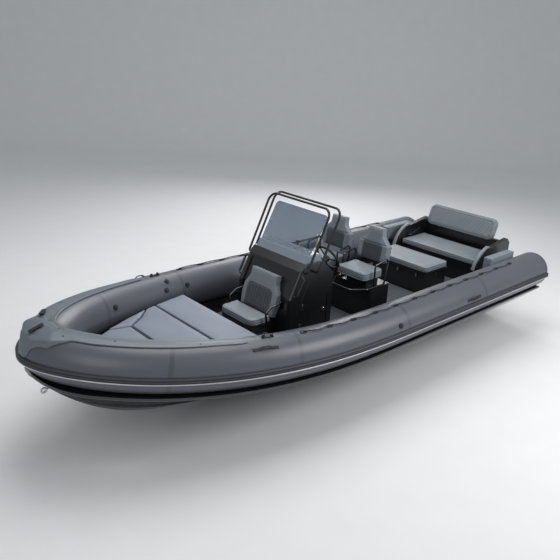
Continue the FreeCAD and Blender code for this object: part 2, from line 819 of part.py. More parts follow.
def hull_section(frame, share):
    rim = hull_rim(frame, share)
    x = rim.x
    keel = keel_height(x)
    wide, height = chine(x)
    root = v.stem_half_width
    reach = wide - root
    slope = (height - keel) / reach
    fullness = min(1, reach / (4 * v.chine_flat))
    flat = v.chine_flat * fullness
    half = [(root, keel)]
    for place_share in RAIL_SHARES:
        y = root + reach * place_share * (1 - flat / (reach + flat))
        rail = v.spray_rail_wide * fullness
        half += [(y, keel + slope * (y - root)), (y + rail, keel + slope * (y - root)),
                 (y + rail, keel + slope * (y + rail - root))]
    half += [(wide - flat, height - slope * flat * 0.25), (wide, height - slope * flat * 0.25)]
    rim_y = max(rim.y, wide + v.rim_lip)
    lower = rim.z - v.rim_thick
    lower = max(lower, height + v.rim_lip)
    upper = lower + v.rim_thick
    half += [(rim_y - v.rim_lip, lower - v.rim_lip), (rim_y, lower), (rim_y, upper)]
    points = [Vector(x, y, z) for y, z in half]
    points += [Vector(x, -y, z) for y, z in reversed(half)]
    return Part.makePolygon(points + points[:1])


def hull():
    turns = PORT_TURNS[:-1] + [STEM_TURN]
    aft_steps = 8
    sections = [hull_section(straight_spine(v.tube_bend_station * i / aft_steps), 0)
                for i in range(aft_steps)]
    for turn in turns:
        sections.append(hull_section(spine(turn), turn / 90))
    solid = Part.makeLoft(sections, True)
    rake = math.radians(v.transom_rake)
    lean = v.keel_depth * math.tan(rake)
    low, high = -v.keel_depth - v.cut_over, v.rim_thick + v.cut_over
    run = math.tan(rake)
    wall = [Vector(-v.cut_over, 0, low), Vector(v.transom_station - run * low, 0, low),
            Vector(v.transom_station - run * high, 0, high), Vector(-v.cut_over, 0, high)]
    face = Part.Face(Part.makePolygon(wall + wall[:1]))
    wide = v.tube_half_spacing + v.tube_radius
    tool = face.extrude(Y * 2 * wide)
    tool.translate(Y * -wide)
    return cut_tube(solid.cut([tool, cockpit()])).fuse(engine_pad()).removeSplitter()


def engine_pad():
    """Flat pad on the raked transom, for the engine's bracket."""
    rake = math.radians(v.transom_rake)
    down = Vector(math.sin(rake), 0, -math.cos(rake))
    aft = Vector(-math.cos(rake), 0, -math.sin(rake))
    top = Vector(v.transom_station, 0, 0) - down * (v.engine_pad_high / math.cos(rake))
    foot = Vector(v.transom_station, 0, 0) - down * (v.engine_pad_low / math.cos(rake))
    wide = v.engine_pad_half_width
    points = [top - aft * v.engine_pad_thick, top + aft * v.engine_pad_thick,
              foot + aft * v.engine_pad_thick, foot - aft * v.engine_pad_thick]
    face = Part.Face(Part.makePolygon(points + points[:1]))
    slab = face.extrude(Y * 2 * wide)
    slab.translate(Y * -wide)
    return slab


def cockpit():
    """The room above the deck, between the tubes' seats."""
    last = v.cockpit_end_station
    stations = [v.tube_bend_station + (last - v.tube_bend_station) * i / 6 for i in range(7)]
    edge = [Vector(-v.cut_over, v.tube_half_spacing - v.cockpit_inset, 0)]
    edge += bow_outline(stations, v.cockpit_inset)
    points = edge + [Vector(p.x, -p.y, 0) for p in reversed(edge)]
    return prism(points, 0, v.tube_centre_height + v.sheer_rise)


hull_shape = hull()
feature("hull", hull_shape)


# Bow plate, eye and fittings


def plate_section(turn):
    """Flat top of a wing with a raised lip along its inner edge, rooted in the tube."""
    share = 1 - abs(turn - 90) / v.plate_half_turn
    inner = v.plate_inner_angle + (v.plate_inner_angle_bow - v.plate_inner_angle) * share
    outer = v.plate_outer_angle + (v.plate_outer_angle_bow - v.plate_outer_angle) * share
    root = v.tube_radius - v.plate_edge_thick
    rise = (v.plate_edge_thick - v.plate_tail_thick) * share ** PLATE_SHARE
    edge = v.tube_radius + v.plate_tail_thick + rise
    thin = v.tube_radius + v.plate_tail_thick
    lip = thin + v.plate_lip
    frame = bow_frame(turn)
    lip_foot = inner - v.plate_lip_angle
    corners = [(root, inner), (lip, inner), (lip, lip_foot), (thin, lip_foot),
               (thin + rise / 2, (lip_foot + outer) / 2), (edge, outer), (root, outer)]
    points = [round_tube(frame, radius, angle) for radius, angle in corners]
    return Part.makePolygon(points + points[:1])


def nose():
    """Flat-topped step over the stem, where its plan, side and front outlines meet."""
    tip = spine(90)[0]
    foot = tip.z - v.strake_drop + v.strake_height / 2 + v.seat_gap
    crown = tip.z + v.tube_radius + v.plate_tail_thick
    half = [(v.nose_foot_station, v.nose_half_width / 3), (v.nose_corner_station, v.nose_half_width),
            (v.nose_shoulder_station, v.nose_shoulder_half_width),
            (v.nose_wing_station, v.nose_wing_half_width), (v.nose_back_station, v.nose_wing_half_width / 2)]
    plan = [Vector(x, y, 0) for x, y in half] + [Vector(x, -y, 0) for x, y in reversed(half)]
    solid = prism(plan, foot, crown)
    side = [(v.nose_back_station, crown), (v.nose_crown_station, crown),
            (v.nose_front_station, v.nose_top_height),
            (v.nose_foot_station, foot), (v.nose_back_station, foot)]
    side_face = Part.Face(Part.makePolygon([Vector(x, 0, z) for x, z in side + side[:1]]))
    wide = v.nose_wing_half_width
    side_solid = side_face.extrude(Y * 2 * wide)
    side_solid.translate(Y * -wide)
    front = [(-wide, foot), (wide, foot), (wide, v.nose_wing_height), (v.nose_half_width, crown),
             (-v.nose_half_width, crown), (-wide, v.nose_wing_height)]
    front_face = Part.Face(Part.makePolygon([Vector(v.nose_back_station, y, z) for y, z in front + front[:1]]))
    return solid.common(side_solid).common(front_face.extrude(X * (v.nose_foot_station - v.nose_back_station)))


def bow_plate():
    first, last = 90 - v.plate_half_turn, 90 + v.plate_half_turn
    turns = [turn for turn in bow_turns() if first < turn < last]
    skin = Part.makeLoft([plate_section(turn) for turn in [first] + turns + [last]], True)
    return cut_tube(skin.fuse(nose())).removeSplitter()


feature("bow_plate", bow_plate())


def cleat(centre, way, normal):
    """A cleat on a base, its bar along a direction."""
    base_length = v.cleat_length / 2
    high = v.cleat_height
    root = v.plate_tail_thick
    base = Part.makeBox(base_length, v.cleat_wide, high + root,
                        Vector(-base_length / 2, -v.cleat_wide / 2, -root))
    bar_high = high / 3
    bar = Part.makeBox(v.cleat_length, v.cleat_wide, bar_high,
                       Vector(-v.cleat_length / 2, -v.cleat_wide / 2, high - bar_high))
    solid = base.fuse(bar).removeSplitter()
    ends = [e for e in solid.Edges if along(Z)(e) and beyond(X, base_length / 2)(e)]
    ends += [e for e in solid.Edges if along(Z)(e) and beyond(-X, base_length / 2)(e)]
    ends = [e for e in ends if e.Length < high / 2]
    solid = solid.makeFillet(v.cleat_wide / 3, ends)
    solid.Placement = FreeCAD.Placement(centre, FreeCAD.Rotation(way, normal.cross(way), normal, "XYZ"))
    return solid


def bow_cleats():
    """One cleat on the nose and one on the starboard wing."""
    crown = spine(90)[0].z + v.tube_radius + v.plate_tail_thick
    slope = Vector(v.nose_front_station - v.nose_crown_station, 0, v.nose_top_height - crown)
    slope.normalize()
    middle = Vector(v.nose_front_station, 0, v.nose_top_height) - slope * v.nose_cleat_back
    frame = mirrored(spine(v.wing_cleat_turn))
    spot = round_tube(frame, v.tube_radius, v.wing_cleat_angle, v.plate_tail_thick + v.plate_lip)
    normal = (spot - frame[0]).normalize()
    pieces = [cleat(middle, slope, Vector(-slope.z, 0, slope.x)), cleat(spot, frame[1], normal)]
    plate = shaped("bow_plate")
    return Part.makeCompound([cut_tube_near(piece.cut(plate)) for piece in pieces])


def eye_ring(centre, axis, shank_to, hole, bar):
    """A ring with a rounded outside and a shank, its hole along an axis."""
    ring = Part.makeCylinder(hole + 2 * bar, 2 * bar, centre - axis * bar, axis)
    rims = [e for e in ring.Edges if e.Curve.TypeId == "Part::GeomCircle"]
    ring = ring.makeFillet(bar * 0.9, rims)
    reach = shank_to - centre
    length = reach.Length - hole
    reach.normalize()
    shank = Part.makeCylinder(bar, length, centre + reach * hole, reach)
    hole_cut = Part.makeCylinder(hole, 4 * bar, centre - axis * 2 * bar, axis)
    return ring.fuse(shank).cut(hole_cut)


def bow_eye():
    centre = Vector(v.eye_station, 0, v.eye_height)
    inner = Vector(v.eye_station - 5 * v.eye_hole_radius, 0, v.eye_height + v.eye_hole_radius)
    return eye_ring(centre, Y, inner, v.eye_hole_radius, v.eye_bar_radius).cut(hull_shape)


feature("bow_eye", bow_eye())
feature("bow_cleats", bow_cleats())


# Bow base and cushions


def rounded(shape, level, radius, corner=0):
    """Round the top edges, and the upright ones where a corner is given."""
    if corner:
        upright = [e for e in shape.Edges if along(Z)(e)]
        shape = shape.makeFillet(corner, upright)
    top = [e for e in shape.Edges if at_level(Z, level)(e)]
    return shape.makeFillet(radius, top)


def bow_base():
    first, last = v.bow_base_station, v.bow_tip_station - v.cushion_round
    stations = [first + (last - first) * i / 5 for i in range(6)]
    edge = bow_outline(stations, v.bow_inset + v.cushion_round)
    points = edge + [Vector(p.x, -p.y, 0) for p in reversed(edge)]
    return cut_tube(prism(points, 0, v.bow_base_height))


feature("bow_base", bow_base())


def bow_cushions():
    gap = v.cushion_seam / 2
    inset = v.bow_inset
    x0, x1, x2, x3 = (v.bow_cushion_station, v.bow_seam_aft_station,
                      v.bow_seam_fore_station, v.bow_tip_station)
    length = x3 - x0
    nook = 0.63 * (x2 - x1)
    inner = 0.237 * length
    low = v.bow_base_height + v.seat_gap
    high = low + v.bow_cushion_thick
    flip = lambda points: [Vector(p.x, -p.y, 0) for p in reversed(points)]
    aft = bow_outline([x0, (x0 + x1) / 2, x1 - gap], inset)
    wedge_aft = x1 + nook * 0.45
    shoulder = inside_edge(x1 + nook, inset) * 0.78
    middle = bow_outline([x1 + gap, wedge_aft - gap], inset)
    middle += [Vector(x1 + nook - gap, shoulder, 0), Vector(x2 - gap, inner, 0)]
    corner = x2 + 0.64 * (x3 - x2)
    fore = [Vector(x2 + gap, inner, 0), Vector(corner, inside_edge(corner, inset) - gap, 0),
            Vector(x3, inner, 0)]
    side = [Vector(x2 - gap, inner + 2 * gap, 0), Vector(x1 + nook, shoulder + 2 * gap, 0)]
    side += bow_outline([wedge_aft + gap, (wedge_aft + corner) / 2, corner - 4 * gap], inset)
    result = []
    for outline in (aft, middle, fore):
        solid = prism(outline + flip(outline), low, high)
        result.append(rounded(solid, high, v.cushion_round))
    wedges = [prism(side, low, high), prism(flip(side), low, high)]
    result.append(Part.makeCompound([rounded(w, high, v.cushion_round / 2) for w in wedges]))
    return result


for name, shape in zip(("bow_cushion_aft", "bow_cushion_middle", "bow_cushion_fore",
                        "bow_cushion_sides"), bow_cushions()):
    feature(name, shape)


# Deck covering

body = new_body("deck_covering")
pad_aft = s.bench_front_station + s.cushion_round
pad_fore = s.bow_base_station - s.cushion_round
cheek_fore = s.cheek_front_station + s.cushion_round
between = s.bench_half_width - s.cushion_round
narrow = s.deck_pad_half_width * s.deck_pad_fore_share
sketch = add_sketch(body, "deck_outline", "XY_Plane", [
    (pad_aft, -between), (cheek_fore, -between), (cheek_fore, -s.deck_pad_half_width),
    (pad_fore, -narrow), (pad_fore, narrow), (cheek_fore, s.deck_pad_half_width),
    (cheek_fore, between), (pad_aft, between)])
sheet_pad = pad(body, "deck_sheet", sketch, s.deck_pad_thick)
for label, x0, x1, half in (
        ("console_reveal", s.console_aft_station - s.cushion_round,
         s.front_seat_front_station, s.console_half_width + s.cushion_round),
        ("helm_reveal", s.helm_box_aft_station - s.cushion_round,
         s.helm_box_front_station + s.cushion_round, s.helm_box_half_width + s.cushion_round),
        ("locker_reveal", s.locker_aft_station - s.cushion_round,
         s.locker_front_station + s.cushion_round, s.locker_half_width + s.cushion_round)):
    hole = add_sketch(body, label, "XY_Plane",
                      [(x0, -half), (x1, -half), (x1, half), (x0, half)], s.deck_pad_thick)
    pocket(body, label + "_cut", hole, s.deck_pad_thick)
fillet(body, "deck_corners", body.Tip, along(Z), s.deck_pad_corner / 3)
keep("deck_covering", body)


# Console

body = new_body("console")
sketch = add_sketch(body, "console_side", "XZ_Plane", [
    (s.console_aft_station + s.toe_deep, ZERO), (s.console_foot_station, ZERO),
    (s.console_knee_station, s.console_knee_height), (s.console_brow_station, s.console_brow_height),
    (s.cowl_foot_station, s.cowl_foot_height),
    (s.cowl_aft_station, s.cowl_foot_height), (s.dash_foot_station, s.dash_foot_height),
    (s.dash_foot_station, s.toe_height * 1.3), (s.console_aft_station + s.toe_deep, s.toe_height)])
block = pad(body, "console_block", sketch, s.console_half_width * 2, True)
fillet(body, "console_corners", block,
       both(off_centre(s.console_half_width), beyond(X, s.console_brow_station)),
       s.console_round)
for side, name in ((1, "port"), (-1, "starboard")):
    panel = add_sketch(body, "panel_" + name, "XZ_Plane", [
        (s.console_aft_station + s.toe_deep * 1.8, s.toe_height),
        (s.console_foot_station - s.toe_deep * 2.5, s.toe_height),
        (s.console_foot_station - s.toe_deep * 5, s.console_knee_height * 0.92),
        (s.console_aft_station + s.toe_deep * 1.8, s.console_knee_height * 0.92)],
        s.console_half_width * -side)
    pocket(body, "panel_recess_" + name, panel, s.door_recess, reverse=side > 0)
over_front = s.console_foot_station + s.cut_over
recess = add_sketch(body, "front_recess", "XZ_Plane", [
    (over_front, s.recess_foot_height), (over_front, s.recess_top_height),
    (s.console_brow_station, s.recess_top_height),
    (s.console_knee_station - s.recess_deep, s.console_knee_height),
    (s.console_knee_station - s.recess_deep, s.recess_foot_height)])
pocket(body, "front_recess_cut", recess, s.recess_half_width * 2, both_ways=True)
keep("console", body)

body = new_body("console_cowl")
sketch = add_sketch(body, "cowl_side", "XZ_Plane", [
    (s.cowl_foot_station, s.cowl_foot_height + s.seat_gap),
    (s.cowl_top_station, s.cowl_top_height), (s.cowl_aft_station + s.hoop_radius, s.cowl_top_height),
    (s.cowl_aft_station, s.cowl_foot_height + s.seat_gap)])
block = pad(body, "cowl_block", sketch, s.cowl_half_width * 2, True)
fillet(body, "cowl_edges", block, at_level(Z, s.cowl_top_height), s.cushion_round)
keep("console_cowl", body)


# Instrument panel on the sloping dash


def slope_frame(foot, head):
    """Direction up a slope and outward from it, for a slope facing aft."""
    up = head - foot
    length = up.Length
    up.normalize()
    return up, Vector(-up.z, 0, up.x), length


dash_foot = Vector(v.dash_foot_station, 0, v.dash_foot_height)
dash_head = Vector(v.cowl_aft_station, 0, v.cowl_foot_height)


def dash_panel():
    up, out, length = slope_frame(dash_foot, dash_head)
    foot = dash_foot + out * v.seat_gap
    corners = [foot, foot + up * length * 0.96]
    wide = v.dash_panel_half_width
    a, b = corners
    points = [Vector(a.x, -wide, a.z), Vector(b.x, -wide, b.z), Vector(b.x, wide, b.z),
              Vector(a.x, wide, a.z)]
    return Part.Face(Part.makePolygon(points + points[:1])).extrude(out * v.dash_panel_thick)


feature("dash_panel", dash_panel())


# Windscreen and its hoops


def windscreen():
    foot = Vector(v.cowl_top_station - v.hoop_radius, 0, v.cowl_top_height + v.seat_gap + v.screen_thick / 2)
    head = Vector(v.screen_top_station, 0, v.screen_top_height)
    up, out, _ = slope_frame(foot, head)
    low, high = v.screen_half_width, v.screen_top_half_width
    points = [Vector(foot.x, -low, foot.z), Vector(head.x, -high, head.z),
              Vector(head.x, high, head.z), Vector(foot.x, low, foot.z)]
    solid = Part.Face(Part.makePolygon(points + points[:1])).extrude(out * v.screen_thick)
    corners = [e for e in solid.Edges if e.CenterOfMass.z > head.z - v.screen_thick
               and abs(e.CenterOfMass.y) > high - v.screen_thick and e.Length < 2 * v.screen_thick]
    return solid.makeFillet(v.hoop_bend / 2, corners)


def bent_path(points, bends):
    """Straight runs joined by tangent arcs, one radius for all or one each."""
    if not isinstance(bends, list):
        bends = [bends] * (len(points) - 2)
    edges = []
    start = points[0]
    for before, corner, after, bend in zip(points, points[1:], points[2:], bends):
        a = before - corner
        b = after - corner
        half_angle = a.getAngle(b) / 2
        a.normalize()
        b.normalize()
        reach = bend / math.tan(half_angle)
        inward = a + b
        inward.normalize()
        deep = bend / math.sin(half_angle) - bend
        enter, leave = corner + a * reach, corner + b * reach
        edges.append(Part.LineSegment(start, enter).toShape())
        edges.append(Part.Arc(enter, corner + inward * deep, leave).toShape())
        start = leave
    edges.append(Part.LineSegment(start, points[-1]).toShape())
    return Part.Wire(edges)


def bent_bar(points, radius, bend):
    """A round bar along a bent path."""
    path = bent_path(points, bend)
    direction = points[1] - points[0]
    section = Part.Wire(Part.makeCircle(radius, points[0], direction))
    return path.makePipeShell([section], True, False)


def hoop(foot_x, foot_z, top_x, top_z, wide):
    """A bent tube over the screen, its feet turned in to the console's sides."""
    side = v.console_half_width + v.seat_gap
    bends = [v.hoop_foot_bend, v.hoop_bend, v.hoop_bend, v.hoop_foot_bend]
    points = [Vector(foot_x, side, foot_z), Vector(foot_x, wide, foot_z), Vector(top_x, wide, top_z),
              Vector(top_x, -wide, top_z), Vector(foot_x, -wide, foot_z), Vector(foot_x, -side, foot_z)]
    return bent_bar(points, v.hoop_radius, bends)


def console_grab_bars():
    """A bar down each front corner, its ends turned in to the console's side."""
    low = v.console_half_width + v.seat_gap
    high = v.grab_bar_half_width
    ends = ((v.grab_bar_top_station, v.grab_bar_top_height), (v.grab_bar_foot_station, v.grab_bar_foot_height))
    (top_x, top_z), (foot_x, foot_z) = ends
    bars = []
    for side in (1, -1):
        points = [Vector(top_x, side * low, top_z), Vector(top_x, side * high, top_z),
                  Vector(foot_x, side * high, foot_z), Vector(foot_x, side * low, foot_z)]
        bars.append(bent_bar(points, v.grab_bar_radius, v.hoop_foot_bend))
    return Part.makeCompound(bars)


feature("console_grab_bars", console_grab_bars())
feature("windscreen", windscreen())
feature("windscreen_hoops", Part.makeCompound([
    hoop(v.front_hoop_foot_station, v.front_hoop_foot_height,
         v.front_hoop_top_station, v.front_hoop_top_height, v.front_hoop_half_width),
    hoop(v.rear_hoop_foot_station, v.rear_hoop_foot_height,
         v.rear_hoop_top_station, v.rear_hoop_top_height, v.rear_hoop_half_width)]))


# Steering wheel, turned about its own axis and then set on the dash

wheel_axis = Vector(-math.sin(math.radians(v.wheel_tilt)), 0, math.cos(math.radians(v.wheel_tilt)))
wheel_turn = FreeCAD.Rotation(Z, wheel_axis)
wheel_centre = Vector(v.wheel_station, v.wheel_offset, v.wheel_height)


def steering_wheel():
    rim = Part.makeTorus(v.wheel_radius, v.wheel_rim_radius)
    hub_low = -v.wheel_hub_thick
    hub = Part.makeCylinder(v.wheel_hub_radius, v.wheel_hub_thick, Vector(0, 0, hub_low))
    spokes = []
    for turn in (90, 210, 330):
        angle = math.radians(turn)
        way = Vector(math.cos(angle), math.sin(angle), 0)
        start = Vector(0, 0, hub_low / 2)
        end = way * v.wheel_radius
        spoke = Part.makeCylinder(v.spoke_radius, (end - start).Length, start, end - start)
        spokes.append(spoke)
    bore = Part.makeCylinder(v.shaft_radius + v.shaft_clearance, v.shaft_length + v.column_gap,
                             Vector(0, 0, hub_low))
    wheel = rim.fuse([hub] + spokes).removeSplitter().cut(bore)
    wheel.Placement = FreeCAD.Placement(wheel_centre, wheel_turn)
    return wheel


feature("steering_wheel", steering_wheel())


doc.recompute()


def steering_column():
    top = wheel_centre - wheel_axis * (v.wheel_hub_thick + v.column_gap)
    housing = Part.makeCylinder(v.column_radius, v.column_length, top, wheel_axis * -1)
    shaft = Part.makeCylinder(v.shaft_radius, v.column_gap + v.shaft_length, top, wheel_axis)
    pieces = housing.cut([shaped("console"), shaped("dash_panel")]).Solids
    return max(pieces, key=lambda piece: piece.Volume).fuse(shaft)


feature("steering_column", steering_column())


def throttle():
    up, out, length = slope_frame(dash_foot, dash_head)
    foot = dash_foot + out * (v.dash_panel_thick + 2 * v.seat_gap) + up * length * 0.2
    y = -v.throttle_offset
    wide = v.throttle_wide / 2
    a, b = foot, foot + up * v.throttle_height
    points = [Vector(a.x, y - wide, a.z), Vector(b.x, y - wide, b.z), Vector(b.x, y + wide, b.z),
              Vector(a.x, y + wide, a.z)]
    case = Part.Face(Part.makePolygon(points + points[:1])).extrude(out * v.throttle_deep)
    root = (a + b) / 2 + out * v.throttle_deep * 0.5 + Vector(0, y - wide, 0)
    way = (out + up).normalize()
    lever = Part.makeCylinder(v.lever_radius, v.lever_length, root, way)
    knob = Part.makeSphere(v.knob_radius, root + way * v.lever_length)
    return case.fuse([lever, knob]).removeSplitter()


feature("throttle", throttle())


# Front seat on the console

def front_hinge_barrels():
    """Barrels under the cushion's front edge, each on a leaf let into the base."""
    face = v.front_seat_front_station - v.front_base_inset
    level = v.front_seat_height - v.front_seat_thick - v.hinge_radius - v.hinge_clear
    x = face + v.hinge_radius + v.hinge_clear
    hinges = []
    for side in (1, -1):
        y = side * v.front_hinge_offset - v.hinge_length / 2
        barrel = Part.makeCylinder(v.hinge_radius, v.hinge_length, Vector(x, y, level), Y)
        leaf = Part.makeBox(2 * (x - face), v.hinge_length, v.hinge_leaf,
                            Vector(2 * face - x, y, level - v.hinge_leaf))
        hinges.append(barrel.fuse(leaf))
    return hinges


base_low = s.front_seat_height - s.front_seat_thick


def front_seat_base():
    """Moulded base in front of the console, with the cushion's hinges."""
    low = number(base_low) - v.seat_gap
    back = v.console_foot_station + v.seat_gap
    face = v.front_seat_front_station - v.front_base_inset
    side = [(back, 0), (face - v.front_base_inset, 0), (face, low), (back, low)]
    outline = Part.Face(Part.makePolygon([Vector(x, 0, z) for x, z in side + side[:1]]))
    half = v.front_seat_half_width - v.front_base_inset
    block = outline.extrude(Y * 2 * half)
    block.translate(Y * -half)
    return block.fuse(front_hinge_barrels()).removeSplitter()


feature("front_seat_base", front_seat_base())

body = new_body("front_seat_cushion")
sketch = add_sketch(body, "front_cushion_plan", "XY_Plane", [
    (s.front_seat_back_station, -s.front_seat_half_width),
    (s.front_seat_front_station, -s.front_seat_half_width),
    (s.front_seat_front_station, s.front_seat_half_width),
    (s.front_seat_back_station, s.front_seat_half_width)], base_low)
block = pad(body, "front_cushion_block", sketch, s.front_seat_thick)
block = fillet(body, "front_cushion_corners", block,
               both(along(Z), beyond(X, s.front_seat_back_station + s.cushion_round)),
               s.front_seat_corner)
fillet(body, "front_cushion_edges", block, at_level(Z, s.front_seat_height), s.cushion_round)
keep("front_seat_cushion", body)


def leaning_pad(outline, foot, lean, rise, thick, round_size):
    """A pad cut from an outline of (y, share of the rise), leaning aft."""
    def point(y, share):
        return Vector(foot.x - lean * share, y, foot.z + rise * share)
    points = [point(y, share) for y, share in outline]
    face = Part.Face(Part.makePolygon(points + points[:1]))
    up = Vector(-lean, 0, rise).normalize()
    back = Vector(-up.z, 0, up.x)
    solid = face.extrude(back * thick)
    edges = [e for e in solid.Edges if abs((e.CenterOfMass - foot).dot(back)) < 1e-3]
    return solid.makeFillet(round_size, edges)


def front_backrest():
    seat = v.front_seat_height - v.front_seat_thick
    clear = v.seat_gap + v.front_back_thick * 0.3
    rise = v.front_back_top_height - seat - clear
    foot = Vector(v.console_foot_station + v.front_back_thick + v.seat_gap, 0, seat + clear)
    low, high = v.front_back_half_width, v.front_back_top_half_width
    half = [(low * 0.9, 0), (low, 0.3), (low * 0.97, 0.55), (high, 0.76), (high * 0.93, 1)]
    outline = half + [(-y, share) for y, share in reversed(half)]
    lean = foot.x - v.front_back_top_station
    solid = leaning_pad(outline, foot, lean, rise, v.front_back_thick, v.cushion_round)
    return solid.cut([shaped("console")])


feature("front_seat_backrest", front_backrest())


def front_rails():
    """A loop each side, from the backrest's foot forward and down to the base."""
    y = v.front_seat_half_width + v.front_rail_radius * 1.5
    rails = []
    for side in (1, -1):
        x = v.console_foot_station
        high = v.front_rail_height
        low = v.front_seat_height - v.front_seat_thick - v.front_base_inset
        points = [Vector(x - v.front_rail_radius * 3, side * y, high + v.front_rail_radius * 3),
                  Vector(x + v.front_rail_reach / 2, side * y, high + v.front_rail_radius * 2),
                  Vector(x + v.front_rail_reach, side * y, high - v.front_base_inset),
                  Vector(x + v.front_rail_reach * 0.9, side * y, low),
                  Vector(x + v.front_rail_reach * 0.9, side * (v.front_seat_half_width - v.front_base_inset
                                                              + v.seat_gap), low)]
        rails.append(bent_bar(points, v.front_rail_radius, v.front_rail_radius * 2.2))
    return Part.makeCompound([rail.cut([shaped("console"), shaped("front_seat_backrest")])
                              for rail in rails])


feature("front_seat_rails", front_rails())


# Helm seats

body = new_body("helm_seat_box")
sketch = add_sketch(body, "helm_box_plan", "XY_Plane", [
    (s.helm_box_aft_station, -s.helm_box_half_width), (s.helm_box_front_station, -s.helm_box_half_width),
    (s.helm_box_front_station, s.helm_box_half_width), (s.helm_box_aft_station, s.helm_box_half_width)])
block = pad(body, "helm_box_block", sketch, s.helm_box_height)
fillet(body, "helm_box_corners", block, along(Z), s.helm_box_round)
for side, name in ((1, "port"), (-1, "starboard")):
    middle = s.helm_seat_offset * side
    post = add_sketch(body, "helm_post_" + name, "XY_Plane", [
        (s.helm_seat_back_station + s.helm_box_round, middle - s.helm_post_half_width),
        (s.helm_box_front_station - s.helm_box_round, middle - s.helm_post_half_width),
        (s.helm_box_front_station - s.helm_box_round, middle + s.helm_post_half_width),
        (s.helm_seat_back_station + s.helm_box_round, middle + s.helm_post_half_width)],
        s.helm_box_height)
    pad(body, "helm_post_block_" + name, post,
        s.helm_seat_height - s.helm_seat_thick - s.helm_box_height - s.seat_gap)
keep("helm_seat_box", body)


def helm_cushion(side):
    y = side * v.helm_seat_offset
    wide = v.helm_seat_half_width
    x0, x1 = v.helm_seat_back_station, v.helm_seat_front_station
    points = [Vector(x0, y - wide, 0), Vector(x1, y - wide, 0), Vector(x1, y + wide, 0),
              Vector(x0, y + wide, 0)]
    low = v.helm_seat_height - v.helm_seat_thick
    solid = prism(points, low, v.helm_seat_height)
    return rounded(solid, v.helm_seat_height, v.cushion_round * 1.5, v.helm_seat_corner)


def helm_backrest(side):
    rise = v.helm_back_top_height - v.helm_back_foot_height
    foot = Vector(v.helm_back_station + v.helm_back_thick, 0, v.helm_back_foot_height)
    low, top, wide = (v.helm_back_foot_half_width, v.helm_back_top_half_width,
                      v.helm_seat_half_width)
    shoulder = (v.helm_back_mid_height - v.helm_back_foot_height) / rise
    half = [(low, 0), (wide, 0.1), (wide, shoulder * 0.8), (top * 1.1, shoulder * 1.15), (top * 0.9, 1)]
    outline = half + [(-y, share) for y, share in reversed(half)]
    solid = leaning_pad(outline, foot, v.helm_back_lean, rise, v.helm_back_thick, v.cushion_round)
    solid.translate(Y * side * v.helm_seat_offset)
    return solid


def helm_rails(side):
    """Foot rail round the front of a seat, with an arm rail each side, as one frame."""
    middle = side * v.helm_seat_offset
    wide = v.helm_seat_half_width + v.helm_rail_radius + v.seat_gap
    level = v.helm_box_height + v.helm_rail_radius + v.seat_gap
    front = v.helm_rail_front_station
    back = v.helm_seat_back_station + v.helm_rail_bend / 2
    corner = front - v.helm_rail_bend * 3
    nose = wide - v.helm_rail_bend * 2
    ring = [Vector(back, middle + wide, level), Vector(corner, middle + wide, level),
            Vector(front, middle + nose, level), Vector(front, middle - nose, level),
            Vector(corner, middle - wide, level), Vector(back, middle - wide, level)]
    frame = bent_bar(ring, v.helm_rail_radius, v.helm_rail_bend)
    arms = []
    for way in (1, -1):
        y = middle + way * wide
        x0 = v.helm_seat_back_station - v.helm_rail_radius * 2
        x1 = v.helm_seat_front_station - v.helm_rail_bend * 3
        arm = [Vector(back, y, level), Vector(x0, y, v.helm_arm_height),
               Vector(x1, y, v.helm_arm_height - v.helm_rail_bend), Vector(x1, y, level)]
        arms.append(bent_bar(arm, v.helm_rail_radius, v.helm_rail_bend * 0.8))
        arms.append(Part.makeSphere(v.helm_rail_radius, Vector(back, y, level)))
    return frame.fuse(arms).removeSplitter()


feature("helm_seat_cushions", Part.makeCompound([helm_cushion(side) for side in (1, -1)]))
feature("helm_seat_backrests", Part.makeCompound([helm_backrest(side) for side in (1, -1)]))
feature("helm_seat_rails", Part.makeCompound([helm_rails(1), helm_rails(-1)]))


# Aft locker with a hinged, cushioned lid

x0, x1 = s.locker_aft_station, s.locker_front_station
half = s.locker_half_width
outer = box("locker_outer", x0, x1, -half, half, ZERO, s.locker_height)
inner = box("locker_inner", x0 + s.locker_wall, x1 - s.locker_wall, s.locker_wall - half,
            half - s.locker_wall, s.locker_wall, s.locker_height + s.cut_over)
keep("aft_locker", cut("aft_locker", outer, inner))

over = s.locker_lid_over
lid_low = s.locker_height + s.seat_gap


def rounded_slab(name, low, thick, top_round):
    """A slab with rounded corners, over the locker."""
    body = new_body(name)
    plan = add_sketch(body, name + "_plan", "XY_Plane", [
        (x0 - over, -half - over), (x1 + over, -half - over), (x1 + over, half + over),
        (x0 - over, half + over)], low)
    block = pad(body, name + "_block", plan, thick)
    block = fillet(body, name + "_corners", block, along(Z), s.locker_corner)
    if top_round:
        fillet(body, name + "_edges", block, at_level(Z, low + thick), top_round)
    return keep(name, body)


rounded_slab("aft_locker_lid", lid_low, s.locker_lid_thick, None)
rounded_slab("aft_locker_cushion", lid_low + s.locker_lid_thick + s.seat_gap,
             s.locker_cushion_thick, s.cushion_round)


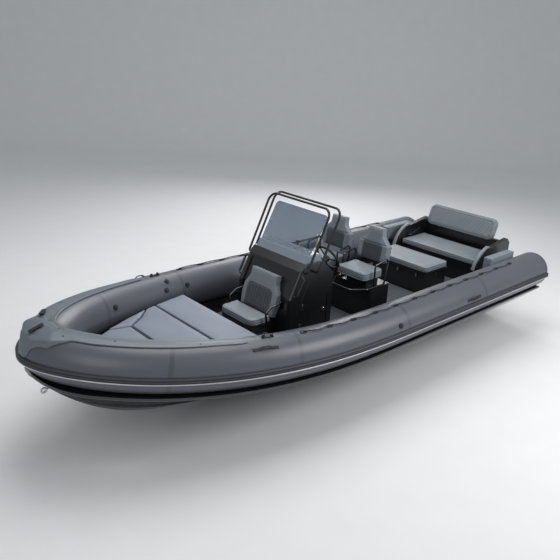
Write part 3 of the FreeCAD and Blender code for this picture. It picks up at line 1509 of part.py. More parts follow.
def latches():
    """Upright latches on the locker's front and port sides."""
    low = v.locker_height - v.latch_length - v.latch_radius
    spots = [(v.locker_front_station + v.latch_stand - v.latch_radius, y) for y in
             (-v.locker_half_width * 0.7, 0, v.locker_half_width * 0.7)]
    spots += [((v.locker_aft_station + v.locker_front_station) / 2,
               side * (v.locker_half_width + v.latch_stand - v.latch_radius)) for side in (1, -1)]
    shapes = []
    walls = Part.makeBox(v.locker_front_station - v.locker_aft_station + 2 * v.seat_gap,
                         2 * (v.locker_half_width + v.seat_gap), v.locker_height,
                         Vector(v.locker_aft_station - v.seat_gap,
                                -v.locker_half_width - v.seat_gap, 0))
    for x, y in spots:
        shapes.append(Part.makeCylinder(v.latch_radius, v.latch_length, Vector(x, y, low), Z).cut(walls))
    return shapes


def locker_hinges():
    """Barrels behind the lid's aft edge, each with a leaf on the box."""
    x = v.locker_aft_station - v.locker_lid_over - v.hinge_radius - v.hinge_clear
    level = v.locker_height + v.seat_gap
    hinges = []
    for side in (1, -1):
        y = side * v.locker_half_width * 0.6 - v.hinge_length / 2
        barrel = Part.makeCylinder(v.hinge_radius, v.hinge_length, Vector(x, y, level), Y)
        low = level - v.hinge_clear - v.hinge_leaf
        leaf = Part.makeBox(v.locker_aft_station - v.seat_gap - x, v.hinge_length, v.hinge_leaf,
                            Vector(x, y, low))
        plate = Part.makeBox(v.hinge_leaf, v.hinge_length, v.locker_wall * 2,
                             Vector(v.locker_aft_station - v.seat_gap - v.hinge_leaf, y,
                                    low + v.hinge_leaf - v.locker_wall * 2))
        hinges.append(barrel.fuse([leaf, plate]).removeSplitter())
    return hinges


feature("aft_locker_fittings", Part.makeCompound(latches() + locker_hinges()))


# Stern bench


def bench():
    """Seat moulding, aft wall and two cheeks with curved fronts."""
    wide = v.bench_half_width + v.cheek_thick
    aft, front = v.bench_aft_station, v.bench_front_station
    seat = Part.makeBox(front - aft, 2 * v.bench_half_width, v.bench_base_height,
                        Vector(aft, -v.bench_half_width, 0))
    wall = Part.makeBox(v.bench_wall_thick, 2 * v.bench_half_width,
                        v.bench_back_foot_height - v.cushion_round,
                        Vector(aft, -v.bench_half_width, 0))
    top, tip = v.cheek_top_height, v.cheek_front_station
    radius = v.cheek_round
    a = Vector(aft, 0, 0)
    b = Vector(tip, 0, 0)
    c = Vector(tip, 0, top - radius - v.cheek_thick)
    knee = Vector(tip - radius, 0, top - v.cheek_thick)
    middle = Vector(tip - radius * (1 - math.sin(math.pi / 4)), 0,
                    top - v.cheek_thick - radius * (1 - math.cos(math.pi / 4)))
    d = Vector(aft + v.cheek_thick, 0, top)
    e = Vector(aft, 0, top - v.cheek_thick)
    edges = [Part.makeLine(a, b), Part.makeLine(b, c), Part.Arc(c, middle, knee).toShape(),
             Part.makeLine(knee, d), Part.makeLine(d, e), Part.makeLine(e, a)]
    face = Part.Face(Part.Wire(edges))
    cheeks = []
    for side in (1, -1):
        cheek = face.extrude(Y * v.cheek_thick)
        cheek.translate(Y * (v.bench_half_width if side > 0 else -wide))
        cheeks.append(cheek)
    return cut_tube(seat.fuse([wall] + cheeks)).removeSplitter()


def arm_pads():
    """Pads that follow the curved edge of the cheeks."""
    top, tip = v.cheek_top_height, v.cheek_front_station
    radius = v.cheek_round
    centre = Vector(tip - radius, 0, top - v.cheek_thick - radius)
    pads = []
    for side in (1, -1):
        low = radius + v.seat_gap
        high = low + v.arm_pad_thick
        ring = []
        for reach in (low, high):
            ring.append([centre + Vector(math.sin(math.radians(a)), 0, math.cos(math.radians(a))) * reach
                         for a in (0, 42, 84)])
        edges = [Part.Arc(*ring[0]).toShape(), Part.makeLine(ring[0][2], ring[1][2]),
                 Part.Arc(*reversed(ring[1])).toShape(), Part.makeLine(ring[1][0], ring[0][0])]
        solid = Part.Face(Part.Wire(edges)).extrude(Y * v.cheek_thick)
        solid.translate(Y * (v.bench_half_width if side > 0 else -v.bench_half_width - v.cheek_thick))
        pads.append(solid)
    return Part.makeCompound(pads)


def bench_cushion():
    half = v.bench_half_width - v.seat_gap * 2
    x0, x1 = v.bench_cushion_back_station, v.bench_cushion_front_station
    points = [Vector(x0, -half, 0), Vector(x1, -half, 0), Vector(x1, half, 0), Vector(x0, half, 0)]
    low = v.bench_base_height + v.seat_gap
    high = low + v.bench_cushion_thick
    return rounded(prism(points, low, high), high, v.cushion_round)


def bench_backrest():
    rise = v.bench_back_top_height - v.bench_back_foot_height
    foot = Vector(v.bench_back_foot_station, 0, v.bench_back_foot_height)
    wide = v.bench_back_half_width
    lean = v.bench_back_lean
    points = [(-wide, 0), (wide, 0), (wide, 1), (-wide, 1)]
    corners = [Vector(foot.x - lean * share, y, foot.z + rise * share) for y, share in points]
    up = Vector(-lean, 0, rise).normalize()
    back = Vector(-up.z, 0, up.x)
    solid = Part.Face(Part.makePolygon(corners + corners[:1])).extrude(back * v.bench_back_thick)
    solid = solid.makeFillet(v.bench_back_corner, [
        e for e in solid.Edges if abs(e.Length - v.bench_back_thick) < 1e-3])
    front = [e for e in solid.Edges if abs((e.CenterOfMass - foot).dot(back)) < 1e-3]
    return solid.makeFillet(v.cushion_round, front)


def grab_rails():
    rails = []
    for side in (1, -1):
        y = side * (v.bench_half_width - v.seat_gap)
        inner = side * (v.bench_half_width - v.grab_stand)
        x = v.bench_back_foot_station + v.cheek_thick
        level = v.bench_base_height + v.bench_cushion_thick + v.cheek_thick * 1.6
        drop = v.grab_length * 0.35
        points = [Vector(x, y, level), Vector(x, inner, level),
                  Vector(x + v.grab_length, inner, level - drop), Vector(x + v.grab_length, y, level - drop)]
        rails.append(bent_bar(points, v.grab_radius, v.grab_radius * 2))
    return Part.makeCompound(rails)


feature("bench", bench())
feature("bench_cushion", bench_cushion())
feature("bench_backrest", bench_backrest())
feature("bench_arm_pads", arm_pads())
feature("bench_grab_rails", grab_rails())


def back_brackets():
    """Flat brackets from the bench's aft wall up the back of the backrest."""
    rise = v.bench_back_top_height - v.bench_back_foot_height
    up = Vector(-v.bench_back_lean, 0, rise).normalize()
    back = Vector(-up.z, 0, up.x)
    foot = Vector(v.bench_back_foot_station, 0, v.bench_back_foot_height)
    foot += back * (v.bench_back_thick + v.seat_gap)
    high = foot + up * rise / 2
    wall_x = v.bench_aft_station + v.bench_wall_thick + v.seat_gap
    top_z = v.bench_back_foot_height - v.cushion_round
    low = Vector(wall_x, 0, top_z - v.bracket_wide)
    thick = v.bracket_thick
    knee = Vector(wall_x, 0, foot.z + thick)
    points = [low, low + X * thick, Vector(wall_x + thick, 0, foot.z), foot, high,
              high + back * thick, foot + back * thick + Z * thick, knee]
    face = Part.Face(Part.makePolygon(points + points[:1]))
    result = []
    for side in (1, -1):
        solid = face.extrude(Y * v.bracket_wide)
        solid.translate(Y * (side * v.bracket_offset - v.bracket_wide / 2))
        result.append(solid)
    return Part.makeCompound(result)


feature("bench_back_brackets", back_brackets())


# Side pads against the tubes


def side_pads():
    pads = []
    for side in (1, -1):
        y0 = v.side_pad_inner
        solid = Part.makeBox(v.side_pad_front_station - v.side_pad_aft_station, v.side_pad_deep,
                             v.side_pad_top_height - v.side_pad_foot_height,
                             Vector(v.side_pad_aft_station, y0, v.side_pad_foot_height))
        if side < 0:
            solid = solid.mirror(Vector(0, 0, 0), Y)
        pads.append(cut_tube(solid))
    return Part.makeCompound(pads)


feature("side_pads", side_pads())


# Lifelines, patches, handles and valves on the tubes


def line_stations():
    step = (v.line_front_station - v.line_aft_station) / LINE_SPANS
    return [v.line_aft_station + step * i for i in range(LINE_SPANS + 1)]


def lifeline(side):
    """Rope from patch to patch, slack towards the outboard side."""
    stations = line_stations()
    angle = v.line_angle
    radius = v.tube_radius + v.line_radius + v.patch_thick
    drop = math.degrees(v.line_slack / v.tube_radius)
    points = [round_tube(spine_at(stations[0]), radius, angle)]
    for a, b in zip(stations, stations[1:]):
        points.append(round_tube(spine_at((a + b) / 2), radius, angle - drop))
        points.append(round_tube(spine_at(b), radius, angle))
    if side < 0:
        points = [Vector(p.x, -p.y, p.z) for p in points]
    shortest = min((b - a).Length for a, b in zip(points, points[1:]))
    return bent_bar(points, v.line_radius, shortest)


def patches():
    """A pad under the rope at each station, bent to the tube."""
    shapes = []
    for x in line_stations():
        frame = spine_at(x)
        centre = round_tube(frame, v.tube_radius, v.line_angle)
        normal = (centre - frame[0]).normalize()
        across = frame[1].cross(normal)
        high = v.patch_thick - v.seat_gap
        pad_box = Part.makeBox(v.patch_length, v.patch_wide, high + v.patch_thick,
                               Vector(-v.patch_length / 2, -v.patch_wide / 2, -v.patch_thick))
        corners = [e for e in pad_box.Edges if along(Z)(e)]
        pad_box = pad_box.makeFillet(v.patch_wide * 0.45, corners)
        turn = FreeCAD.Rotation(frame[1], across * -1, normal, "XZY")
        pad_box.Placement = FreeCAD.Placement(centre, turn)
        seated = cut_tube_near(pad_box)
        shapes.append(seated)
        shapes.append(seated.mirror(Vector(0, 0, 0), Y))
    return Part.makeCompound(shapes)


def handles():
    """Strap handles on the outboard faces of the tubes, two each side."""
    spots = ((v.handle_fore_station, v.handle_fore_angle), (v.handle_aft_station, v.handle_aft_angle))
    shapes = []
    for x, angle in spots:
        frame = spine_at(x)
        centre = round_tube(frame, v.tube_radius, angle)
        normal = (centre - frame[0]).normalize()
        half = v.handle_length / 2
        end = v.handle_pad_length
        rise = v.handle_rise
        thick = v.handle_thick
        outline = [(-half, -rise), (-half, thick), (-half + end, thick), (-half + 1.6 * end, rise),
                   (half - 1.6 * end, rise), (half - end, thick), (half, thick), (half, -rise),
                   (half - end, -rise), (half - end, 0), (half - 1.6 * end, rise - thick),
                   (-half + 1.6 * end, rise - thick), (-half + end, 0), (-half + end, -rise)]
        points = [Vector(a, 0, b) for a, b in outline]
        strap = Part.Face(Part.makePolygon(points + points[:1])).extrude(Y * v.handle_wide)
        strap.translate(Y * -v.handle_wide / 2)
        turn = FreeCAD.Rotation(frame[1], frame[1].cross(normal) * -1, normal, "XZY")
        strap.Placement = FreeCAD.Placement(centre, turn)
        seated = cut_tube_near(strap)
        shapes += [seated, seated.mirror(Vector(0, 0, 0), Y)]
    return shapes


def fairleads():
    """A base with two studs on top of each tube, ahead of the lifeline."""
    frame = spine_at(v.fairlead_station)
    centre = round_tube(frame, v.tube_radius, v.fairlead_angle)
    normal = (centre - frame[0]).normalize()
    half = v.fairlead_length / 2
    wide = v.fairlead_wide / 2
    thick = v.handle_thick
    base = Part.makeBox(2 * half, 2 * wide, 2 * thick, Vector(-half, -wide, -thick))
    base = base.makeFillet(wide / 2, [e for e in base.Edges if along(Z)(e)])
    studs = [Part.makeCylinder(wide * FAIRLEAD_STUD_SHARE, v.fairlead_height, Vector(x, 0, 0), Z)
             for x in (wide - half, half - wide)]
    solid = base.fuse(studs).removeSplitter()
    turn = FreeCAD.Rotation(frame[1], frame[1].cross(normal) * -1, normal, "XZY")
    solid.Placement = FreeCAD.Placement(centre, turn)
    seated = cut_tube_near(solid)
    return [seated, seated.mirror(Vector(0, 0, 0), Y)]


def valves():
    """Valves on the outboard faces and inside the bow."""
    spots = ((v.side_valve_station, v.side_valve_angle), (v.bow_valve_station, v.bow_valve_angle),
             (v.upper_valve_station, v.upper_valve_angle), (v.lower_valve_station, v.lower_valve_angle),
             (v.inner_valve_station, v.inner_valve_angle))
    shapes = []
    for x, angle in spots:
        frame = spine_at(x)
        base = round_tube(frame, v.tube_radius, angle, lift=-v.valve_thick)
        normal = (base - frame[0]).normalize()
        disc = Part.makeCylinder(v.valve_radius, 2 * v.valve_thick, base, normal)
        seated = cut_tube_near(disc)
        shapes += [seated, seated.mirror(Vector(0, 0, 0), Y)]
    return Part.makeCompound(shapes)


feature("lifelines", Part.makeCompound([lifeline(1), lifeline(-1)]))
feature("lifeline_patches", patches())
feature("tube_handles", Part.makeCompound(handles() + fairleads()))
feature("tube_valves", valves())


# Stern eyes on the transom


def stern_eyes():
    rake = math.radians(v.transom_rake)
    normal = Vector(-math.cos(rake), 0, -math.sin(rake))
    shapes = []
    for side in (1, -1):
        on_face = Vector(v.transom_station + math.tan(rake) * v.chine_depth / 2,
                         side * v.bench_half_width, -v.chine_depth / 2)
        centre = on_face + normal * (v.eye_hole_radius + 2 * v.eye_bar_radius)
        shapes.append(eye_ring(centre, Y, on_face - normal * v.eye_bar_radius,
                               v.eye_hole_radius, v.eye_bar_radius).cut(hull_shape))
    return Part.makeCompound(shapes)


feature("stern_eyes", stern_eyes())


# Check and write

doc.recompute()
faults = [item.Name for item in doc.Objects if {"Invalid", "Error"} & set(item.State)]
for name, item in nodes.items():
    shape = item.Shape
    if shape.isNull() or not shape.isValid() or not shape.Solids:
        faults.append(name)
if faults:
    raise RuntimeError("failed: " + ", ".join(sorted(set(faults))))
os.makedirs("parts", exist_ok=True)
for name, item in nodes.items():
    item.Shape.exportStep("parts/%s.step" % name)
    print(name, len(item.Shape.Solids), round(item.Shape.Volume / 1e6, 3), "litres")
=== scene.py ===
import bmesh
import bpy
import numpy as np
from mathutils import Matrix, Vector


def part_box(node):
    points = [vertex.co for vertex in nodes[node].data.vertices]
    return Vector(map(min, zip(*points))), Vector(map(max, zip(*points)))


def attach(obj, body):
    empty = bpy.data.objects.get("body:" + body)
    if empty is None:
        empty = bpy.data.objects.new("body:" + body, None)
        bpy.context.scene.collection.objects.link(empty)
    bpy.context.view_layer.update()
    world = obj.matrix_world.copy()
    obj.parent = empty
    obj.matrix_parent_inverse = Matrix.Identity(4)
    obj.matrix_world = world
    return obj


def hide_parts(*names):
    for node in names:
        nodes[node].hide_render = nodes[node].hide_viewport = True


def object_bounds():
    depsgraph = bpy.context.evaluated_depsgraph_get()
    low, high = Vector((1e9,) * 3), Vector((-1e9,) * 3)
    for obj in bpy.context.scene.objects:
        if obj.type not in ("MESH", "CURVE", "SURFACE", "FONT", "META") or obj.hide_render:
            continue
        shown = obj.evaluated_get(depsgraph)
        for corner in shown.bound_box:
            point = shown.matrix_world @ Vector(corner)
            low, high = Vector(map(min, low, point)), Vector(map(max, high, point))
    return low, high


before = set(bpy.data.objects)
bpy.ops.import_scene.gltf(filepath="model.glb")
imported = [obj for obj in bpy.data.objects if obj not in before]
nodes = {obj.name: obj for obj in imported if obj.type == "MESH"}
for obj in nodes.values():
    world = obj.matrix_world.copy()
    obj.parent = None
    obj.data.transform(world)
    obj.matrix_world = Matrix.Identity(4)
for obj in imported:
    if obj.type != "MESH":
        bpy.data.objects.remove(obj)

cad_box = [list(corner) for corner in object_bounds()]

# View
# The camera stands off the port bow, a little above the screen, at the
# angle and distance at which the whole boat was photographed.

yaw, pitch, roll = np.radians([227.34, -20.99, 2.6])
viewpoint = (5.588, 5.556, 3.559)
film_width, focal_pixels, frame_pixels = 36.0, 662.2, 560.0
ahead = np.array([np.cos(pitch) * np.cos(yaw), np.cos(pitch) * np.sin(yaw),
                  np.sin(pitch)])
level_right = np.array([np.sin(yaw), -np.cos(yaw), 0.0])
level_up = np.cross(level_right, ahead)
view_turn = np.eye(4)
view_turn[:3, 0] = np.cos(roll) * level_right + np.sin(roll) * level_up
view_turn[:3, 1] = np.cos(roll) * level_up - np.sin(roll) * level_right
view_turn[:3, 2] = -ahead
view_turn[:3, 3] = viewpoint
lens = bpy.data.cameras.new("view")
lens.sensor_width = film_width
lens.lens = film_width * focal_pixels / frame_pixels
lens.clip_end = 200.0
camera = bpy.data.objects.new("view", lens)
camera.matrix_world = Matrix(view_turn.tolist())
bpy.context.scene.collection.objects.link(camera)
bpy.context.scene.camera = camera
bpy.context.scene.view_settings.view_transform = "Standard"

# Studio
# A roll of pale matt paper under the keel, swept up behind the boat. The boat
# stands on nothing else, because the photograph shows all of its hull.


def linear(code):
    """sRGB hex to linear: c over 12.92 up to 0.04045, and past that the sum
    of c and 0.055, over 1.055, to the power 2.4."""
    srgb = np.array([int(code[i:i + 2], 16) for i in (1, 3, 5)]) / 255.0
    value = np.where(srgb <= 0.04045, srgb / 12.92, ((srgb + 0.055) / 1.055) ** 2.4)
    return (*value.tolist(), 1.0)


def blank(name):
    """An empty material, to be filled node by node."""
    material = bpy.data.materials.new(name)
    material.use_nodes = True
    material.node_tree.nodes.clear()
    return material


def add(material, kind, **given):
    """One node. A name given is a property, a socket with _ for each space,
    or in_3 for socket 3. A (node, output name) pair links into the socket."""
    node = material.node_tree.nodes.new(kind)
    for name, value in given.items():
        if hasattr(node, name):
            setattr(node, name, value)
            continue
        if name.startswith("in_"):
            socket = node.inputs[int(name[3:])]
        else:
            title = name.replace("_", " ")
            socket = next(s for s in node.inputs if s.enabled and s.name == title)
        if isinstance(value, tuple) and isinstance(value[0], bpy.types.Node):
            output = next(s for s in value[0].outputs if s.enabled and s.name == value[1])
            material.node_tree.links.new(output, socket)
        else:
            socket.default_value = value
    return node


# Paper is dull in every direction, with a barely clouded white.
paper = blank("matt_paper")
place = add(paper, "ShaderNodeTexCoord")
fibre = add(paper, "ShaderNodeTexNoise", Vector=(place, "Object"), Scale=3.0, Detail=4.0)
tone = add(paper, "ShaderNodeMix", data_type="RGBA", Factor=(fibre, "Fac"),
           A=linear("#ecedee"), B=linear("#f2f3f4"))
shader = add(paper, "ShaderNodeBsdfPrincipled", Base_Color=(tone, "Result"), Roughness=0.9)
add(paper, "ShaderNodeOutputMaterial", Surface=(shader, "BSDF"))

# Its section runs level, turns up through a quarter circle and goes on upright.
floor_level = cad_box[0][2] - 0.002
front, back, curve, top, half_width = 16.0, 14.0, 3.0, 14.0, 30.0
bend = np.linspace(0, np.pi / 2, 13)
run = np.concatenate([[front], -back - curve * np.sin(bend), [-back - curve]])
rise = np.concatenate([[0.0], curve - curve * np.cos(bend), [top]])
away = -ahead[:2] / np.linalg.norm(ahead[:2])
beside_view = np.array([-away[1], away[0]])
widths = np.array([-half_width, half_width])
rows = run[:, None, None] * away + widths[None, :, None] * beside_view
heights = np.broadcast_to((floor_level + rise)[:, None, None], (*rows.shape[:2], 1))
index = np.arange(rows.shape[0] * 2).reshape(-1, 2)
quads = np.stack([index[:-1, 0], index[:-1, 1], index[1:, 1], index[1:, 0]], axis=1)
paper_points = np.concatenate([rows, heights], axis=2).reshape(-1, 3)
paper_mesh = bpy.data.meshes.new("studio_paper")
paper_mesh.from_pydata(paper_points.tolist(), [], quads.tolist())
paper_mesh.polygons.foreach_set("use_smooth", np.ones(len(quads), dtype=bool))
paper_mesh.materials.append(paper)
studio_paper = bpy.data.objects.new("studio_paper", paper_mesh)
bpy.context.scene.collection.objects.link(studio_paper)

# The room gives an even, dim light. Only the camera sees its pale wall.
room = bpy.data.worlds.new("room")
bpy.context.scene.world = room
room.use_nodes = True
room.node_tree.nodes.clear()
light_path = add(room, "ShaderNodeLightPath")
soft_light = add(room, "ShaderNodeBackground", Color=linear("#dfe2e6"), Strength=0.42)
pale_wall = add(room, "ShaderNodeBackground", Color=linear("#b9bbbe"), Strength=1.0)
seen = add(room, "ShaderNodeMixShader", in_0=(light_path, "Is Camera Ray"),
           in_1=(soft_light, "Background"), in_2=(pale_wall, "Background"))
add(room, "ShaderNodeOutputWorld", Surface=(seen, "Shader"))


def lamp(name, stand, aim, size, power):
    """A square soft lamp on its stand, turned to its aim: size in metres,
    power in watts."""
    data = bpy.data.lights.new(name, "AREA")
    data.size = size
    data.energy = power
    light = bpy.data.objects.new(name, data)
    light.location = stand
    beam = Vector(aim) - Vector(stand)
    light.rotation_euler = beam.to_track_quat("-Z", "Y").to_euler()
    bpy.context.scene.collection.objects.link(light)


lamp("overhead", (0.0, -1.0, 7.0), (0, 0, 0), 6.0, 330)
lamp("port_stern", (-3.5, 6.0, 4.2), (-0.8, 1.0, 0.3), 3.6, 230)
lamp("bow_side", (7.5, 4.5, 4.5), (1, 0, 0), 4.0, 85)
lamp("stern_far", (-6.0, -6.0, 4.5), (0, 0, 0.4), 4.0, 190)

# Hull
# Glass fibre laid up in a polished mould behind a dark grey gelcoat. It is
# glossy, with a faint orange peel and clouds where the polish has dulled.


def dress(material, *names):
    """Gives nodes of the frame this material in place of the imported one."""
    for name in names:
        nodes[name].data.materials.clear()
        nodes[name].data.materials.append(material)


# Orange peel about 9 mm across breaks up the lamps' reflections a little.
dark_gelcoat = blank("dark_gelcoat_polished")
place = add(dark_gelcoat, "ShaderNodeTexCoord")
clouds = add(dark_gelcoat, "ShaderNodeTexNoise", Vector=(place, "Object"), Scale=1.6, Detail=5.0)
tone = add(dark_gelcoat, "ShaderNodeMix", data_type="RGBA", Factor=(clouds, "Fac"),
           A=linear("#151618"), B=linear("#1f2023"))
dulled = add(dark_gelcoat, "ShaderNodeMapRange", Value=(clouds, "Fac"), To_Min=0.17, To_Max=0.3)
peel = add(dark_gelcoat, "ShaderNodeTexNoise", Vector=(place, "Object"), Scale=1000 / 9,
           Detail=1.0)
skin = add(dark_gelcoat, "ShaderNodeBump", Height=(peel, "Fac"), Distance=0.0001, Strength=0.5)
shader = add(dark_gelcoat, "ShaderNodeBsdfPrincipled", Base_Color=(tone, "Result"), IOR=1.52,
             Roughness=(dulled, "Result"), Normal=(skin, "Normal"), Coat_Weight=0.5,
             Coat_Roughness=0.06)
add(dark_gelcoat, "ShaderNodeOutputMaterial", Surface=(shader, "BSDF"))
dress(dark_gelcoat, "hull")

# Inflated tubes
# Polyester cloth coated with synthetic rubber, cut in panels, glued into a
# tube and inflated hard. It is matt, with the cloth printing through.

# The threads lie closer than a millimetre. They are drawn 4 mm apart, as
# coarse as they need to be to give the tubes a soft, broad highlight.
coated_cloth = blank("rubber_coated_cloth")
place = add(coated_cloth, "ShaderNodeTexCoord")
threads = add(coated_cloth, "ShaderNodeTexVoronoi", Vector=(place, "Object"), Scale=1000 / 4)
handled = add(coated_cloth, "ShaderNodeTexNoise", Vector=(place, "Object"), Scale=2.1, Detail=6.0,
              Roughness=0.6)
tone = add(coated_cloth, "ShaderNodeMix", data_type="RGBA", Factor=(handled, "Fac"),
           A=linear("#595b64"), B=linear("#676a73"))
fine = add(coated_cloth, "ShaderNodeMix", data_type="RGBA", Factor=(threads, "Distance"),
           A=(tone, "Result"), B=linear("#52545c"))
worn = add(coated_cloth, "ShaderNodeMapRange", Value=(handled, "Fac"), To_Min=0.3, To_Max=0.42)
print_through = add(coated_cloth, "ShaderNodeBump", Height=(threads, "Distance"), Distance=0.0002,
                    Strength=0.6)
shader = add(coated_cloth, "ShaderNodeBsdfPrincipled", Base_Color=(fine, "Result"),
             Roughness=(worn, "Result"), Normal=(print_through, "Normal"), IOR=1.54,
             Coat_Weight=0.12, Coat_Roughness=0.3)
add(coated_cloth, "ShaderNodeOutputMaterial", Surface=(shader, "BSDF"))
dress(coated_cloth, "tube_port", "tube_starboard", "tube_bow", "tube_end_caps")

# The collar's centre line from the port stern round the bow to the other
# stern. Whatever lies on the tubes is placed by its length along this line. It
# runs straight to the bend, then follows a quarter of a squared oval, and
# rises with a power of the way forward.

tube_radius = 0.251
stern_end, bend_start, bend_length = -3.57, -0.32, 3.718
half_beam, line_level, bow_rise = 1.175, 0.308, 0.301
port_bend = (np.pi / 2) * np.linspace(0, 1, 2401) ** 2
bend_share = np.sin(port_bend) ** 0.712
port_line = np.stack([
    bend_start + bend_length * bend_share,
    half_beam * np.clip(np.cos(port_bend), 0, 1) ** 1.25,
    line_level + bow_rise * bend_share ** 2.12], axis=1)
port_line = np.concatenate([[[stern_end, half_beam, line_level]], port_line])
whole_line = np.concatenate([port_line, (port_line * (1, -1, 1))[-2::-1]])
steps = np.linalg.norm(np.diff(whole_line, axis=0), axis=1)
rough_run = np.concatenate([[0], np.cumsum(steps)])
collar_run = np.linspace(0, rough_run[-1], 1600)
collar_here = np.stack([np.interp(collar_run, rough_run, column)
                        for column in whole_line.T], axis=1)
collar_ahead = np.gradient(collar_here, axis=0)
collar_out = np.cross((0, 0, 1), collar_ahead)
collar_out /= np.linalg.norm(collar_out, axis=1, keepdims=True)
collar_up = np.cross(collar_ahead, collar_out)
collar_up /= np.linalg.norm(collar_up, axis=1, keepdims=True)
collar_frames = np.concatenate([collar_here, collar_out, collar_up], axis=1)


def beside_line(length, out, up):
    """Points out from and up from the centre line, at lengths along it: the
    line's frames are read between its samples, all arrays of one shape."""
    length, out, up = np.broadcast_arrays(length, out, up)
    found = np.stack([np.interp(length, collar_run, column)
                      for column in collar_frames.T], axis=-1)
    return found[..., :3] + out[..., None] * found[..., 3:6] + up[..., None] * found[..., 6:]


def on_tube(length, degrees, lift=0.0):
    """Points round the tube, by the angle from level, outboard, going up:
    radius + lift times the cosine out and the sine up."""
    turn = np.radians(degrees)
    reach = tube_radius + lift
    return beside_line(length, reach * np.cos(turn), reach * np.sin(turn))


def length_at(station, side):
    """Length along the line at a forward station of the port or other tube."""
    half = len(collar_run) // 2
    found = np.interp(station, collar_here[:half, 0], collar_run[:half])
    return found if side > 0 else collar_run[-1] - found


def piece(name, grids, material, ring=False):
    """One object on the boat from grids of points (path, profile, 3), quads between
    neighbours. The profile wraps round. A ring's path wraps too, another
    closes at the middle of its ends. Doubles merge and faces turn outwards."""
    points, quads, start = [], [], 0
    for grid in grids:
        if not ring:
            ends = grid[[0, -1]].mean(axis=1, keepdims=True).repeat(grid.shape[1], axis=1)
            grid = np.concatenate([ends[:1], grid, ends[1:]])
        index = start + np.arange(grid.shape[0] * grid.shape[1]).reshape(grid.shape[:2])
        here, there = (index, np.roll(index, -1, axis=0)) if ring else (index[:-1], index[1:])
        corners = [here, np.roll(here, -1, 1), np.roll(there, -1, 1), there]
        quads.append(np.stack(corners, -1).reshape(-1, 4))
        points.append(grid.reshape(-1, 3))
        start += index.size
    mesh = bpy.data.meshes.new(name)
    mesh.from_pydata(np.concatenate(points).tolist(), [], np.concatenate(quads).tolist())
    work = bmesh.new()
    work.from_mesh(mesh)
    bmesh.ops.remove_doubles(work, verts=work.verts, dist=0.00002)
    bmesh.ops.recalc_face_normals(work, faces=work.faces)
    work.to_mesh(mesh)
    work.free()
    mesh.polygons.foreach_set("use_smooth", np.ones(len(mesh.polygons), dtype=bool))
    mesh.set_sharp_from_angle(angle=np.radians(40))
    mesh.materials.append(material)
    made = bpy.data.objects.new(name, mesh)
    bpy.context.scene.collection.objects.link(made)
    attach(made, "boat")


# Tapes 48 mm wide and 1.1 mm thick cover the joints of the panels, at these
# stations, and slant a little on the bend. They are the same cloth, with the
# second colour (input 7) of both its mixes darker.

seam_tape = coated_cloth.copy()
seam_tape.name = "rubber_seam_tape"
for tape_tone in [n for n in seam_tape.node_tree.nodes if n.type == "MIX"]:
    tape_tone.inputs[7].default_value = linear("#4b4d53")
round_turn = np.linspace(0, 360, 96, endpoint=False)[:, None]
across = np.array([-0.024, -0.021, 0.021, 0.024])
tape_lift = np.array([-0.002, 0.0011, 0.0011, -0.002])
joints = ((-3.565, 0.0), (-1.95, 0.0), (-0.32, 0.0), (1.27, 0.05), (2.55, 0.04))
tapes = []
for side in (1, -1):
    for station, slant in joints:
        lean = slant * np.cos(np.radians(round_turn))
        length = length_at(station, side) + across * side + lean
        tapes.append(on_tube(length, round_turn, tape_lift))
piece("tube_seam_tapes", tapes, seam_tape, ring=True)

# Rubbing strake
# A solid rubber extrusion glued round the collar, with grooves between its
# ribs, and a pale bead along its lower rib, partly a painted highlight.

# Scuffed rubber is dull and goes grey where it has rubbed.
strake_rubber = blank("extruded_rubber")
place = add(strake_rubber, "ShaderNodeTexCoord")
scuffs = add(strake_rubber, "ShaderNodeTexNoise", Vector=(place, "Object"), Scale=14.0,
             Detail=8.0, Roughness=0.7)
tone = add(strake_rubber, "ShaderNodeMix", data_type="RGBA", Factor=(scuffs, "Fac"),
           A=linear("#303136"), B=linear("#46474c"))
grit = add(strake_rubber, "ShaderNodeTexNoise", Vector=(place, "Object"), Scale=1000 / 2,
           Detail=2.0)
skin = add(strake_rubber, "ShaderNodeBump", Height=(grit, "Fac"), Distance=0.0002, Strength=0.6)
shader = add(strake_rubber, "ShaderNodeBsdfPrincipled", Base_Color=(tone, "Result"),
             Roughness=0.55, Normal=(skin, "Normal"), IOR=1.5)
add(strake_rubber, "ShaderNodeOutputMaterial", Surface=(shader, "BSDF"))
dress(strake_rubber, "rub_strake")

# A pale grey, half-metallic bead: its light colour is partly a painted highlight,
# standing in for the bright line that the lower rib catches.
highlight_bead = blank("pale_bead_with_painted_highlight")
place = add(highlight_bead, "ShaderNodeTexCoord")
film = add(highlight_bead, "ShaderNodeTexNoise", Vector=(place, "Object"), Scale=9.0, Detail=4.0)
tone = add(highlight_bead, "ShaderNodeMix", data_type="RGBA", Factor=(film, "Fac"),
           A=linear("#b4b6ba"), B=linear("#d2d4d8"))
shader = add(highlight_bead, "ShaderNodeBsdfPrincipled", Base_Color=(tone, "Result"),
             Roughness=0.3, Metallic=0.35, IOR=1.45)
add(highlight_bead, "ShaderNodeOutputMaterial", Surface=(shader, "BSDF"))
bead_out, bead_down, bead_end = 0.2805, 0.041, 0.02
bead_turn = np.linspace(0, 2 * np.pi, 10, endpoint=False)
bead_run = np.linspace(bead_end, collar_run[-1] - bead_end, 420)[:, None]
bead = beside_line(bead_run, bead_out + 0.0045 * np.cos(bead_turn),
                   -bead_down + 0.0065 * np.sin(bead_turn))
piece("strake_bead_painted_highlight", [bead], highlight_bead)

# Bow plate and cleats
# A step moulded in silver-grey gelcoat over the stem, screwed down along its
# edges, with nylon mooring cleats. The bow eye under it is welded steel.

